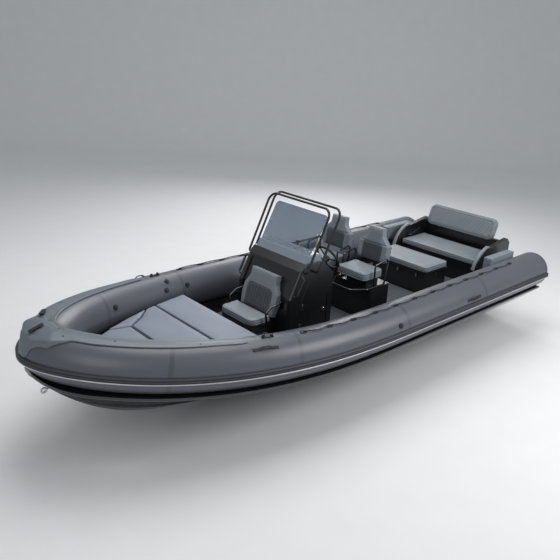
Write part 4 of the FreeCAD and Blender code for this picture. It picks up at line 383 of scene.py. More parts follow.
# Satin gelcoat with a 5 mm grip grain moulded in: no clear reflections.
silver_gelcoat = blank("silver_gelcoat_satin")
place = add(silver_gelcoat, "ShaderNodeTexCoord")
clouds = add(silver_gelcoat, "ShaderNodeTexNoise", Vector=(place, "Object"), Scale=5.0, Detail=5.0)
tone = add(silver_gelcoat, "ShaderNodeMix", data_type="RGBA", Factor=(clouds, "Fac"),
           A=linear("#5f666f"), B=linear("#6c737c"))
grip_grain = add(silver_gelcoat, "ShaderNodeTexVoronoi", Vector=(place, "Object"),
                 Scale=1000 / 5)
skin = add(silver_gelcoat, "ShaderNodeBump", Height=(grip_grain, "Distance"), Distance=0.0003,
           Strength=0.5)
shader = add(silver_gelcoat, "ShaderNodeBsdfPrincipled", Base_Color=(tone, "Result"),
             Roughness=0.42, Normal=(skin, "Normal"), Coat_Weight=0.15, Coat_Roughness=0.3,
             IOR=1.52)
add(silver_gelcoat, "ShaderNodeOutputMaterial", Surface=(shader, "BSDF"))


weld_reach = 0.00005


def shape_of(made):
    """The mesh that an object has with all its modifiers."""
    graph = bpy.context.evaluated_depsgraph_get()
    return bpy.data.meshes.new_from_object(made.evaluated_get(graph))


def bake(made):
    """Puts what the modifiers make into the mesh, and takes them off."""
    mesh = shape_of(made)
    made.modifiers.clear()
    made.data = mesh


def even_copy(node, name, cell, rounds):
    """A copy of a node as one skin: welded, remeshed in even cells, and
    smoothed for some rounds, each of which moves points toward the mean of
    their neighbours."""
    made = bpy.data.objects.new(name, nodes[node].data.copy())
    bpy.context.scene.collection.objects.link(made)
    made.modifiers.new("weld", "WELD").merge_threshold = weld_reach
    even = made.modifiers.new("even", "REMESH")
    even.mode = "VOXEL"
    even.voxel_size = cell
    made.modifiers.new("calm", "SMOOTH").iterations = rounds
    bake(made)
    return made


def finish(made, material):
    """Smooth shading and one material."""
    mesh = made.data
    mesh.polygons.foreach_set("use_smooth", np.ones(len(mesh.polygons), dtype=bool))
    mesh.materials.clear()
    mesh.materials.append(material)


def read(mesh, what="co"):
    """The points, or with normal the outward directions, of a mesh."""
    values = np.empty(len(mesh.vertices) * 3)
    source = mesh.vertices if what == "co" else mesh.vertex_normals
    source.foreach_get("co" if what == "co" else "vector", values)
    return values.reshape(-1, 3)


# The mould draws a small radius on every edge and a broad one on the nose:
# its share of the broad one grows over nose_fade, past nose_start forward.
moulded_step = even_copy("bow_plate", "bow_step_moulding", 0.006, 8)
sharp = read(moulded_step.data)
moulded_step.modifiers.new("broad", "SMOOTH").iterations = 90
rounded_nose = read(shape_of(moulded_step))
moulded_step.modifiers.clear()
nose_start, nose_fade = 3.37, 0.08
forward = sharp[:, 0] + 0.35 * abs(sharp[:, 1])
nose_share = ((forward - nose_start) / nose_fade).clip(0, 1)[:, None]
blended = sharp + nose_share * (rounded_nose - sharp)
moulded_step.data.vertices.foreach_set("co", blended.ravel())
finish(moulded_step, silver_gelcoat)
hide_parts("bow_plate")
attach(moulded_step, "boat")

# Spark-eroded moulds leave nylon with a fine, even, half-dull grain, drawn at
# 2 mm to show.
moulded_nylon = blank("moulded_nylon")
place = add(moulded_nylon, "ShaderNodeTexCoord")
spark = add(moulded_nylon, "ShaderNodeTexNoise", Vector=(place, "Object"), Scale=1000 / 2,
            Detail=2.0)
tone = add(moulded_nylon, "ShaderNodeMix", data_type="RGBA", Factor=(spark, "Fac"),
           A=linear("#151517"), B=linear("#242427"))
skin = add(moulded_nylon, "ShaderNodeBump", Height=(spark, "Fac"), Distance=0.0002, Strength=0.7)
shader = add(moulded_nylon, "ShaderNodeBsdfPrincipled", Base_Color=(tone, "Result"),
             Roughness=0.45, Normal=(skin, "Normal"), IOR=1.53)
add(moulded_nylon, "ShaderNodeOutputMaterial", Surface=(shader, "BSDF"))
dress(moulded_nylon, "bow_cleats", "tube_handles", "tube_valves", "lifeline_patches")

# Polished by hand, so its gloss varies over a few millimetres.
polished_steel = blank("stainless_steel_polished")
place = add(polished_steel, "ShaderNodeTexCoord")
drawn = add(polished_steel, "ShaderNodeTexNoise", Vector=(place, "Object"), Scale=1000 / 6,
            Detail=3.0)
tone = add(polished_steel, "ShaderNodeMix", data_type="RGBA", Factor=(drawn, "Fac"),
           A=linear("#b2b5ba"), B=linear("#c8cacd"))
polish = add(polished_steel, "ShaderNodeMapRange", Value=(drawn, "Fac"), To_Min=0.12, To_Max=0.28)
shader = add(polished_steel, "ShaderNodeBsdfPrincipled", Base_Color=(tone, "Result"),
             Roughness=(polish, "Result"), Metallic=1.0)
add(polished_steel, "ShaderNodeOutputMaterial", Surface=(shader, "BSDF"))
dress(polished_steel, "bow_eye", "stern_eyes")


def turned(profile, centre, axis, sides=20):
    """A turned solid: its (radius, height) points carried round an axis
    through its centre, one row of points for each of the profile's."""
    way = np.array(axis, dtype=float)
    way /= np.linalg.norm(way)
    first = np.cross(way, (0, 1, 0) if abs(way[1]) < 0.9 else (1, 0, 0))
    first /= np.linalg.norm(first)
    second = np.cross(way, first)
    turn = np.linspace(0, 2 * np.pi, sides, endpoint=False)
    rim = np.cos(turn)[:, None] * first + np.sin(turn)[:, None] * second
    radius, height = np.array(profile, dtype=float).T
    return np.array(centre) + height[:, None, None] * way + radius[:, None, None] * rim


def touch(made, start, way):
    """Where a line from a start first meets a piece, and which way it faces."""
    hit, spot, facing, _ = made.ray_cast(Vector(start), Vector(way))
    return (np.array(spot), np.array(facing)) if hit else (None, None)


bpy.context.view_layer.update()
screw_cap = [(0.009, -0.002), (0.009, 0.001), (0.006, 0.0032), (0.002, 0.0038)]
screw_places = ((3.36, 0.27), (3.36, -0.27), (3.0, 0.56), (3.0, -0.56), (2.3, 0.92), (2.3, -0.92))
above_plate = 1.2
screws = []
for x, y in screw_places:
    spot, facing = touch(moulded_step, (x, y, above_plate), (0, 0, -1))
    if spot is not None:
        screws.append(turned(screw_cap, spot, facing))
piece("bow_plate_screw_caps", screws, moulded_nylon)

# Deck covering
# Closed-cell foam sheet glued to the deck, routed into planks that show dark
# lines between them, with a brushed, matt face.

# Brushing scores the face fore and aft, which gives the foam a dull streak.
plank_mm, line_mm = 65, 7
deck_foam = blank("routed_deck_foam")
place = add(deck_foam, "ShaderNodeTexCoord")
parts = add(deck_foam, "ShaderNodeSeparateXYZ", Vector=(place, "Object"))
planks = add(deck_foam, "ShaderNodeMath", operation="MULTIPLY", in_0=(parts, "Y"),
             in_1=1000 / plank_mm)
share = add(deck_foam, "ShaderNodeMath", operation="FRACT", in_0=(planks, "Value"))
line = add(deck_foam, "ShaderNodeMath", operation="LESS_THAN", in_0=(share, "Value"),
           in_1=line_mm / plank_mm)
stretched = add(deck_foam, "ShaderNodeMapping", Vector=(place, "Object"), Scale=(6.0, 220.0, 60.0))
brushed = add(deck_foam, "ShaderNodeTexNoise", Vector=(stretched, "Vector"), Scale=1.0, Detail=5.0)
tone = add(deck_foam, "ShaderNodeMix", data_type="RGBA", Factor=(brushed, "Fac"),
           A=linear("#474b50"), B=linear("#565a60"))
lined = add(deck_foam, "ShaderNodeMix", data_type="RGBA", Factor=(line, "Value"),
            A=(tone, "Result"), B=linear("#1d1e20"))
routed = add(deck_foam, "ShaderNodeMath", operation="SUBTRACT", in_0=(brushed, "Fac"),
             in_1=(line, "Value"))
skin = add(deck_foam, "ShaderNodeBump", Height=(routed, "Value"), Distance=0.0012, Strength=0.7)
shader = add(deck_foam, "ShaderNodeBsdfPrincipled", Base_Color=(lined, "Result"), Roughness=0.88,
             Normal=(skin, "Normal"))
add(deck_foam, "ShaderNodeOutputMaterial", Surface=(shader, "BSDF"))
dress(deck_foam, "deck_covering")

# Bow locker and its cushions
# A black moulded locker carries four cushions of foam in blue-grey marine
# vinyl, boxed, with a sewn seam round the top and the foot of each border.

# Less polished than the hull: a softer gloss over the same fine peel.
black_gelcoat = blank("black_gelcoat_moulded")
place = add(black_gelcoat, "ShaderNodeTexCoord")
clouds = add(black_gelcoat, "ShaderNodeTexNoise", Vector=(place, "Object"), Scale=3.0, Detail=6.0)
tone = add(black_gelcoat, "ShaderNodeMix", data_type="RGBA", Factor=(clouds, "Fac"),
           A=linear("#101113"), B=linear("#1a1b1e"))
dulled = add(black_gelcoat, "ShaderNodeMapRange", Value=(clouds, "Fac"), To_Min=0.24, To_Max=0.4)
peel = add(black_gelcoat, "ShaderNodeTexNoise", Vector=(place, "Object"), Scale=1000 / 8,
           Detail=1.0)
skin = add(black_gelcoat, "ShaderNodeBump", Height=(peel, "Fac"), Distance=0.0001, Strength=0.5)
shader = add(black_gelcoat, "ShaderNodeBsdfPrincipled", Base_Color=(tone, "Result"), IOR=1.52,
             Roughness=(dulled, "Result"), Normal=(skin, "Normal"), Coat_Weight=0.3,
             Coat_Roughness=0.12)
add(black_gelcoat, "ShaderNodeOutputMaterial", Surface=(shader, "BSDF"))
dress(black_gelcoat, "bow_base")


def vinyl(name, dark, light, panel, thread):
    """Sewn marine vinyl: leather grain, a panel colour where the panel
    attribute is over nothing, painted shade darkening each seam's crease, and a
    row of stitches 8 mm beside it, both read from the seam attribute, the
    distance to the nearest seam. Grain and stitches are drawn at 4 and 9 mm to show."""
    made = blank(name)
    place = add(made, "ShaderNodeTexCoord")
    seam = add(made, "ShaderNodeAttribute", attribute_name="seam")
    inside = add(made, "ShaderNodeAttribute", attribute_name="panel")
    clouds = add(made, "ShaderNodeTexNoise", Vector=(place, "Object"), Scale=4.0, Detail=6.0)
    grain = add(made, "ShaderNodeTexVoronoi", Vector=(place, "Object"), Scale=1000 / 4)
    tone = add(made, "ShaderNodeMix", data_type="RGBA", Factor=(clouds, "Fac"), A=dark, B=light)
    within = add(made, "ShaderNodeMath", operation="GREATER_THAN", in_0=(inside, "Fac"), in_1=0.0)
    faced = add(made, "ShaderNodeMix", data_type="RGBA", Factor=(within, "Value"),
                A=(tone, "Result"), B=panel)
    # Painted shade: within 5 mm of a seam the face darkens towards #26282b, for the shade in its
    # crease.
    seam_shade_share = add(made, "ShaderNodeMapRange", Value=(seam, "Fac"), From_Min=0.001, From_Max=0.005,
                To_Min=0.75, To_Max=0.0)
    with_seam_shade = add(made, "ShaderNodeMix", data_type="RGBA", Factor=(seam_shade_share, "Result"),
               A=(faced, "Result"), B=linear("#26282b"))
    row = add(made, "ShaderNodeMath", operation="COMPARE", in_0=(seam, "Fac"), in_1=0.008,
              in_2=0.0008)
    parts = add(made, "ShaderNodeSeparateXYZ", Vector=(place, "Object"))
    flat_way = add(made, "ShaderNodeMath", operation="ADD", in_0=(parts, "X"),
                   in_1=(parts, "Y"))
    all_ways = add(made, "ShaderNodeMath", operation="ADD", in_0=(flat_way, "Value"),
                   in_1=(parts, "Z"))
    paces = add(made, "ShaderNodeMath", operation="MULTIPLY", in_0=(all_ways, "Value"),
                in_1=1000 / 9)
    pace = add(made, "ShaderNodeMath", operation="FRACT", in_0=(paces, "Value"))
    dash = add(made, "ShaderNodeMath", operation="LESS_THAN", in_0=(pace, "Value"), in_1=0.65)
    stitch = add(made, "ShaderNodeMath", operation="MULTIPLY", in_0=(row, "Value"),
                 in_1=(dash, "Value"))
    threaded = add(made, "ShaderNodeMix", data_type="RGBA", Factor=(stitch, "Value"),
                   A=(with_seam_shade, "Result"), B=thread)
    handled = add(made, "ShaderNodeMapRange", Value=(clouds, "Fac"), To_Min=0.4, To_Max=0.56)
    skin = add(made, "ShaderNodeBump", Height=(grain, "Distance"), Distance=0.0003, Strength=0.6)
    shader = add(made, "ShaderNodeBsdfPrincipled", Base_Color=(threaded, "Result"),
                 Roughness=(handled, "Result"), Normal=(skin, "Normal"), Sheen_Weight=0.08,
                 IOR=1.5)
    add(made, "ShaderNodeOutputMaterial", Surface=(shader, "BSDF"))
    return made


def move_to(pad, points):
    """Puts the points of a pad where they are told."""
    pad.data.vertices.foreach_set("co", points.ravel())
    pad.data.update()


def blown_pads(names, cell, drawn_in, limit):
    """Copies of packed pads as blown cloth: even copies, drawn in along their
    normals, and swollen by pressure for 20 steps, no point by more than the
    limit. One level of subdivision follows."""
    steps = 20
    made = []
    for name in names:
        pad = even_copy(name, name + "_pad", cell, 2)
        move_to(pad, read(pad.data) - drawn_in * read(pad.data, "normal"))
        cloth = pad.modifiers.new("cloth", "CLOTH")
        cloth.settings.use_pressure = True
        cloth.settings.uniform_pressure_force = 4.0
        cloth.settings.effector_weights.gravity = 0.0
        cloth.settings.quality = 4
        cloth.point_cache.frame_end = steps
        made.append(pad)
    for step in range(1, steps + 1):
        bpy.context.scene.frame_set(step)
    for pad in made:
        start = read(pad.data)
        moved = read(shape_of(pad)) - start
        pad.modifiers.clear()
        far = np.linalg.norm(moved, axis=1, keepdims=True)
        move_to(pad, start + moved * np.minimum(1, limit / np.maximum(far, 1e-9)))
        pad.modifiers.new("finer", "SUBSURF").levels = 1
        bake(pad)
    bpy.context.scene.frame_set(1)
    return made


def sew(pad, node, material, body, fields):
    """Sews a pad: fields give each point's distance to the nearest seam, its
    place in the panel (positive inside) and how far it moves outward. Sides
    draw in between the ends of the node's box, by 5 mm times one less the
    square of the way from its middle. The pad then stands for its node."""
    side_pull = 0.005
    points, normals = read(pad.data), read(pad.data, "normal")
    low, high = np.array(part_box(node))
    middle, half = (low + high) / 2, (high - low) / 2
    seam, panel, move = fields(points, normals)
    way = (points - middle) / half
    move = move - side_pull * (normals[:, 0] ** 2 * (1 - way[:, 1] ** 2).clip(0)
                               + normals[:, 1] ** 2 * (1 - way[:, 0] ** 2).clip(0))
    points = points + normals * move[:, None]
    pad.data.vertices.foreach_set("co", points.ravel())
    for name, values in (("seam", seam), ("panel", panel)):
        layer = pad.data.attributes.new(name, "FLOAT", "POINT")
        layer.data.foreach_set("value", np.ascontiguousarray(values, dtype=np.float32))
    finish(pad, material)
    pad.data.update()
    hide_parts(node)
    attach(pad, body)


def no_panel(points):
    """The panel field of a pad without a panel."""
    return np.full(len(points), -1.0)


def pressed(distance, depth, breadth=0.006):
    """How far stitches press a face in: the depth times e to the power of
    minus the square of distance over breadth."""
    return -depth * np.exp(-(distance / breadth) ** 2)


def border_seams(low, high, inset=0.02):
    """Fields of a boxed cushion: seams round its border, an inset under the
    top and above the foot, pressed in 2.5 mm over 5 mm."""
    def fields(points, normals):
        seam = np.minimum(abs(points[:, 2] - high + inset), abs(points[:, 2] - low - inset))
        wall = (1 - normals[:, 2] ** 2).clip(0)
        return seam, no_panel(points), wall * pressed(seam, 0.0025, 0.005)
    return fields


bow_vinyl = vinyl("marine_vinyl_blue_grey", linear("#777f8d"), linear("#858d9b"),
                  linear("#777f8d"), linear("#9aa1ad"))
bow_names = ["bow_cushion_aft", "bow_cushion_middle", "bow_cushion_fore", "bow_cushion_sides"]
for pad, name in zip(blown_pads(bow_names, 0.012, 0.003, 0.006), bow_names):
    sew(pad, name, bow_vinyl, "boat", border_seams(0.35, 0.448))

# Console
# A black moulded box with a blue-grey moulded cowl under the screen. Its side
# panels are hatches: each has a push latch, two hinges and a moulded bead.

dress(black_gelcoat, "console", "steering_column")

# Between satin and gloss, so the cowl shows a soft bright edge.
grey_gelcoat = blank("blue_grey_gelcoat_moulded")
place = add(grey_gelcoat, "ShaderNodeTexCoord")
clouds = add(grey_gelcoat, "ShaderNodeTexNoise", Vector=(place, "Object"), Scale=6.0, Detail=4.0)
tone = add(grey_gelcoat, "ShaderNodeMix", data_type="RGBA", Factor=(clouds, "Fac"),
           A=linear("#76828e"), B=linear("#84909c"))
peel = add(grey_gelcoat, "ShaderNodeTexNoise", Vector=(place, "Object"), Scale=1000 / 8,
           Detail=1.0)
skin = add(grey_gelcoat, "ShaderNodeBump", Height=(peel, "Fac"), Distance=0.0001, Strength=0.5)
shader = add(grey_gelcoat, "ShaderNodeBsdfPrincipled", Base_Color=(tone, "Result"),
             Roughness=0.33, Normal=(skin, "Normal"), Coat_Weight=0.3, Coat_Roughness=0.1,
             IOR=1.52)
add(grey_gelcoat, "ShaderNodeOutputMaterial", Surface=(shader, "BSDF"))
dress(grey_gelcoat, "console_cowl")


def slab(middle, right, up, wide, high, corner, layers, steps=40):
    """A flat piece with rounded corners: quarter circles at the corners of a
    rectangle, carried through layers of (inset, height) along the cross
    product of right and up."""
    right, up = np.array(right, dtype=float), np.array(up, dtype=float)
    turn = (np.arange(steps) + 0.5) * 2 * np.pi / steps
    ring = np.stack([np.cos(turn), np.sin(turn)], axis=1)
    inset, height = np.array(layers, dtype=float).T
    flat = np.sign(ring) * (np.array([wide, high]) / 2 - corner)
    flat = flat[None] + (corner - inset)[:, None, None] * ring[None]
    return (np.array(middle) + flat[..., :1] * right + flat[..., 1:] * up
            + height[:, None, None] * np.cross(right, up))


# The bead follows a cubic curve through the hatch: the sum of its knots, each
# weighted by a power of the way along and of the way left.
side_face, bead_face = 0.472, 0.48
latch = [(0.021, -0.002), (0.021, 0.003), (0.017, 0.005), (0.012, 0.0035), (0.003, 0.0035)]
hinge_leaf = [(0, -0.001), (0, 0.003), (0.002, 0.004)]
knots = np.array([(0.60, 0.13), (0.64, 0.34), (0.585, 0.60), (0.40, 0.80)])
way = np.linspace(0, 1, 40)
weights = np.stack([(1 - way) ** 3, 3 * way * (1 - way) ** 2, 3 * way ** 2 * (1 - way), way ** 3])
spine = weights.T @ knots
along = np.gradient(spine, axis=0)
along /= np.linalg.norm(along, axis=1, keepdims=True)
spine_side = np.stack([-along[:, 1], along[:, 0]], 1)[:, None]
turn = np.linspace(0, 2 * np.pi, 10, endpoint=False)
flat = spine[:, None] + 0.008 * np.cos(turn)[None, :, None] * spine_side
hatch_fittings, hatch_beads = [], []
for side in (1, -1):
    hatch_fittings.append(turned(latch, (0.17, side * side_face, 0.37), (0, side, 0), 24))
    for height in (0.24, 0.48):
        edge = (0.585 - 0.11 * height, side * side_face, height)
        hatch_fittings.append(slab(edge, (-side, 0, 0), (0, 0, 1), 0.03, 0.06, 0.006, hinge_leaf))
    off = side * (bead_face + 0.003 * np.sin(turn))[None, :, None]
    off = np.broadcast_to(off, (*flat.shape[:2], 1))
    hatch_beads.append(np.concatenate([flat[..., :1], off, flat[..., 1:]], axis=2))
piece("console_hatch_fittings", hatch_fittings, polished_steel)
piece("console_side_beads", hatch_beads, black_gelcoat)

# Dash
# A leather-grained ABS panel with a glass display, three round gauges and two
# rows of unmarked rocker switches, all held from its back.

# A leather grain, drawn at 3 mm, keeps the dash from throwing glare.
grained_abs = blank("grained_abs")
place = add(grained_abs, "ShaderNodeTexCoord")
grain = add(grained_abs, "ShaderNodeTexVoronoi", Vector=(place, "Object"), Scale=1000 / 3)
tone = add(grained_abs, "ShaderNodeMix", data_type="RGBA", Factor=(grain, "Distance"),
           A=linear("#0f1012"), B=linear("#1b1c1e"))
skin = add(grained_abs, "ShaderNodeBump", Height=(grain, "Distance"), Distance=0.0004,
           Strength=0.6)
shader = add(grained_abs, "ShaderNodeBsdfPrincipled", Base_Color=(tone, "Result"), Roughness=0.5,
             Normal=(skin, "Normal"), IOR=1.54)
add(grained_abs, "ShaderNodeOutputMaterial", Surface=(shader, "BSDF"))
dress(grained_abs, "dash_panel", "throttle")

# Glass over a switched-off display: near black, with faint smears.
dark_glass = blank("dark_display_glass")
place = add(dark_glass, "ShaderNodeTexCoord")
smear = add(dark_glass, "ShaderNodeTexNoise", Vector=(place, "Object"), Scale=30.0, Detail=4.0)
tone = add(dark_glass, "ShaderNodeMix", data_type="RGBA", Factor=(smear, "Fac"),
           A=linear("#07090b"), B=linear("#11151a"))
polish = add(dark_glass, "ShaderNodeMapRange", Value=(smear, "Fac"), To_Min=0.04, To_Max=0.14)
shader = add(dark_glass, "ShaderNodeBsdfPrincipled", Base_Color=(tone, "Result"),
             Roughness=(polish, "Result"), IOR=1.5)
add(dark_glass, "ShaderNodeOutputMaterial", Surface=(shader, "BSDF"))

dash_foot, dash_thickness = (0.040, 0.820), 0.0123
dash_up = np.array([0.7357, 0, 0.6773])
dash_out = np.array([-0.6773, 0, 0.7357])
dash_right = (0, -1, 0)


def on_dash(side, up):
    """A point of the dash: its foot, to port, up its slope and off its back
    by its thickness."""
    foot = np.array([dash_foot[0], side, dash_foot[1]])
    return foot + up * dash_up + dash_thickness * dash_out


display = on_dash(-0.28, 0.13)
case = [(0, -0.001), (0, 0.010), (0.003, 0.013), (0.012, 0.013), (0.013, 0.011)]
pane = [(0, 0.0), (0, 0.0118), (0.001, 0.0122)]
piece("dash_display_case", [slab(display, dash_right, dash_up, 0.25, 0.17, 0.014, case)],
      grained_abs)
piece("dash_display_glass", [slab(display, dash_right, dash_up, 0.222, 0.142, 0.006, pane)],
      dark_glass)

gauges = [on_dash(side, 0.195) for side in (0.19, 0.29, 0.39)]
gauge_rim = [(0.045, -0.001), (0.045, 0.004), (0.042, 0.008), (0.038, 0.008), (0.036, 0.003),
             (0.036, -0.001)]
gauge_glass = [(0.0358, 0.0), (0.0358, 0.003), (0.0348, 0.0035)]
piece("dash_gauge_rims", [turned(gauge_rim, gauge, dash_out, 32) for gauge in gauges],
      polished_steel)
piece("dash_gauge_faces", [turned(gauge_glass, gauge, dash_out, 32) for gauge in gauges],
      dark_glass)

rocker = [(0, -0.001), (0, 0.003), (0.002, 0.006), (0.004, 0.0065)]
rockers = [slab(on_dash(0.03 + 0.024 * column, 0.16 + 0.045 * row), dash_right, dash_up,
                0.018, 0.034, 0.003, rocker, 24) for row in (0, 1) for column in range(4)]
piece("dash_rocker_switches", rockers, grained_abs)

# Steering wheel
# A steel ring and spokes moulded over in soft polyurethane, with a fine
# leather grain where it is held.

# Foam with a skin: dull, with a grain drawn at 2.5 mm.
soft_grip = blank("moulded_polyurethane_grip")
place = add(soft_grip, "ShaderNodeTexCoord")
grain = add(soft_grip, "ShaderNodeTexVoronoi", Vector=(place, "Object"), Scale=1000 / 2.5)
worn = add(soft_grip, "ShaderNodeTexNoise", Vector=(place, "Object"), Scale=12.0, Detail=4.0)
tone = add(soft_grip, "ShaderNodeMix", data_type="RGBA", Factor=(worn, "Fac"),
           A=linear("#131314"), B=linear("#232325"))
skin = add(soft_grip, "ShaderNodeBump", Height=(grain, "Distance"), Distance=0.0003, Strength=0.7)
shader = add(soft_grip, "ShaderNodeBsdfPrincipled", Base_Color=(tone, "Result"),
             Roughness=0.55, Normal=(skin, "Normal"), IOR=1.5)
add(soft_grip, "ShaderNodeOutputMaterial", Surface=(shader, "BSDF"))
dress(soft_grip, "steering_wheel")

# Screen and hoops
# Smoke-tinted acrylic sheet, held by steel buttons inside two hoops of
# powder-coated tube. The console's grab bars and the brackets are coated too.

# Cast acrylic is as clear as glass, and wiping leaves it a little dull.
smoked_acrylic = blank("smoked_acrylic_sheet")
place = add(smoked_acrylic, "ShaderNodeTexCoord")
wiped = add(smoked_acrylic, "ShaderNodeTexNoise", Vector=(place, "Object"), Scale=5.0, Detail=5.0)
polish = add(smoked_acrylic, "ShaderNodeMapRange", Value=(wiped, "Fac"), To_Min=0.01, To_Max=0.06)
tone = add(smoked_acrylic, "ShaderNodeMix", data_type="RGBA", Factor=(wiped, "Fac"),
           A=linear("#76828e"), B=linear("#818d98"))
shader = add(smoked_acrylic, "ShaderNodeBsdfPrincipled", Base_Color=(tone, "Result"), IOR=1.49,
             Roughness=(polish, "Result"), Transmission_Weight=0.94)
add(smoked_acrylic, "ShaderNodeOutputMaterial", Surface=(shader, "BSDF"))
dress(smoked_acrylic, "windscreen")

# Baked powder has a fine peel, and hands rub it to uneven gloss.
black_coat = blank("black_powder_coat")
place = add(black_coat, "ShaderNodeTexCoord")
spray = add(black_coat, "ShaderNodeTexNoise", Vector=(place, "Object"), Scale=1000 / 3,
            Detail=2.0)
rubbed = add(black_coat, "ShaderNodeTexNoise", Vector=(place, "Object"), Scale=7.0, Detail=6.0)
tone = add(black_coat, "ShaderNodeMix", data_type="RGBA", Factor=(rubbed, "Fac"),
           A=linear("#131416"), B=linear("#222326"))
gloss = add(black_coat, "ShaderNodeMapRange", Value=(rubbed, "Fac"), To_Min=0.28, To_Max=0.42)
skin = add(black_coat, "ShaderNodeBump", Height=(spray, "Fac"), Distance=0.0001, Strength=0.6)
shader = add(black_coat, "ShaderNodeBsdfPrincipled", Base_Color=(tone, "Result"),
             Roughness=(gloss, "Result"), Normal=(skin, "Normal"), IOR=1.5)
add(black_coat, "ShaderNodeOutputMaterial", Surface=(shader, "BSDF"))
dress(black_coat, "windscreen_hoops", "bench_back_brackets", "console_grab_bars")

screen_up = np.array([-0.506, 0, 0.8625])
screen_out = np.array([0.8625, 0, 0.506])
screen_foot = np.array([0.4095, 0, 1.0862])
screen_half_thickness = 0.004
button = [(0.013, -0.0005), (0.013, 0.002), (0.010, 0.0045), (0.003, 0.0055)]
buttons = []
for side in (-1, 1):
    for up, beside in ((0.035, 0.40), (0.25, 0.408), (0.455, 0.41)):
        middle = screen_foot + up * screen_up + (0, side * beside, 0)
        for face in (screen_out, -screen_out):
            buttons.append(turned(button, middle + screen_half_thickness * face, face))
piece("windscreen_buttons", buttons, polished_steel)

# Front seat
# A moulded base on the console's foot, a hinged cushion and a backrest. Its
# light vinyl frames a quilted charcoal panel, low in the middle.


def inside_rounded(u, v, middle, half, corner):
    """Distance inside a rounded rectangle: the corner less the length from
    the rectangle shrunk by it."""
    du = abs(u - middle[0]) - (half[0] - corner)
    dv = abs(v - middle[1]) - (half[1] - corner)
    return corner - np.hypot(du.clip(0), dv.clip(0)) - np.minimum(np.maximum(du, dv), 0)


def channels(u, v, pace, slant, depth):
    """Quilting: channels at a pace across a slanted direction. The face sinks
    by the depth in each, and swells between them as the root of a sine."""
    across_channels = u * np.cos(slant) + v * np.sin(slant)
    swell = abs(np.sin(np.pi * across_channels / pace)) ** 0.5
    gap = abs(np.mod(across_channels / pace + 0.5, 1) - 0.5) * pace
    return gap, depth * (swell - 1)


seat_vinyl = vinyl("marine_vinyl_light_grey", linear("#737b82"), linear("#838b91"),
                   linear("#41464b"), linear("#9aa1a6"))

# Stainless rails with a painted dark reflection: the dark grey base colour
# stands in for dark surroundings mirrored along the tube. They go bright where it turns.
steel_painted_dark_reflection = blank("stainless_tube_painted_dark_reflection")
place = add(steel_painted_dark_reflection, "ShaderNodeTexCoord")
drawn = add(steel_painted_dark_reflection, "ShaderNodeTexNoise", Vector=(place, "Object"), Scale=1000 / 6,
            Detail=3.0)
tone = add(steel_painted_dark_reflection, "ShaderNodeMix", data_type="RGBA", Factor=(drawn, "Fac"),
           A=linear("#484a4e"), B=linear("#5c5e62"))
polish = add(steel_painted_dark_reflection, "ShaderNodeMapRange", Value=(drawn, "Fac"), To_Min=0.16, To_Max=0.3)
shader = add(steel_painted_dark_reflection, "ShaderNodeBsdfPrincipled", Base_Color=(tone, "Result"),
             Roughness=(polish, "Result"), Metallic=1.0)
add(steel_painted_dark_reflection, "ShaderNodeOutputMaterial", Surface=(shader, "BSDF"))
dress(black_gelcoat, "front_seat_base")
dress(steel_painted_dark_reflection, "front_seat_rails")


face_from = 0.3


def on_face(values, facing, elsewhere):
    """Values where the surface faces a way, and another value elsewhere."""
    return np.where(facing > face_from, values, elsewhere)


def front_back_fields(points, normals):
    """A panel low in the middle of the face, quilted upright, with a seam
    round it."""
    panel = inside_rounded(points[:, 1], points[:, 2], (0, 0.475), (0.225, 0.185), 0.07)
    panel = on_face(panel, normals[:, 0], -1.0)
    gap, sunk = channels(points[:, 1], points[:, 2], 0.05, 0.0, 0.004)
    seam = np.minimum(abs(panel), np.where(panel > 0, gap + 0.0015, 1.0))
    return seam, panel, pressed(panel, 0.005) + np.where(panel > 0, sunk, 0)


front_pads = blown_pads(["front_seat_cushion", "front_seat_backrest"], 0.009, 0.008, 0.010)
sew(front_pads[0], "front_seat_cushion", seat_vinyl, "front_seat",
    border_seams(0.325, 0.41))
sew(front_pads[1], "front_seat_backrest", seat_vinyl, "boat", front_back_fields)

# Helm seats
# A black moulded box carries two bolster seats with foot rails, arm rails and
# shouldered backrests, in light vinyl with a charcoal lower panel.


def helm_back_fields(points, normals):
    """A level seam under the head, and one round the lower panel. The two
    seats' middles lie 0.33 m to either side."""
    panel = inside_rounded(abs(points[:, 1]) - 0.33, points[:, 2], (0, 0.86), (0.16, 0.13), 0.04)
    panel = on_face(panel, normals[:, 0], -1.0)
    level = on_face(abs(points[:, 2] - 1.0), normals[:, 0], 1.0)
    seam = np.minimum(abs(panel), level)
    return seam, panel, pressed(seam, 0.005)


def with_roll(fields, front, depth):
    """The fields of a cushion with one more seam behind its front roll."""
    def rolled(points, normals):
        seam, panel, move = fields(points, normals)
        roll = on_face(abs(points[:, 0] - front), normals[:, 2], 1.0)
        return np.minimum(seam, roll), panel, move + pressed(roll, depth)
    return rolled


dress(black_gelcoat, "helm_seat_box")
dress(steel_painted_dark_reflection, "helm_seat_rails")
helm_pads = blown_pads(["helm_seat_cushions", "helm_seat_backrests"], 0.010, 0.009, 0.012)
sew(helm_pads[0], "helm_seat_cushions", seat_vinyl, "boat",
    with_roll(border_seams(0.605, 0.715, 0.028), -0.50, 0.005))
sew(helm_pads[1], "helm_seat_backrests", seat_vinyl, "boat", helm_back_fields)

# Aft locker
# A moulded box with a hinged lid, steel latches and a boxed cushion that
# makes it a seat.

dress(black_gelcoat, "aft_locker", "aft_locker_lid")
dress(polished_steel, "aft_locker_fittings")
locker_pad, = blown_pads(["aft_locker_cushion"], 0.010, 0.007, 0.009)
sew(locker_pad, "aft_locker_cushion", seat_vinyl, "aft_locker_lid",
    border_seams(0.392, 0.477))

# Stern bench
# A moulded bench between two padded cheeks. The backrest stands on coated
# brackets, and its face is quilted in slanted channels inside a plain border.


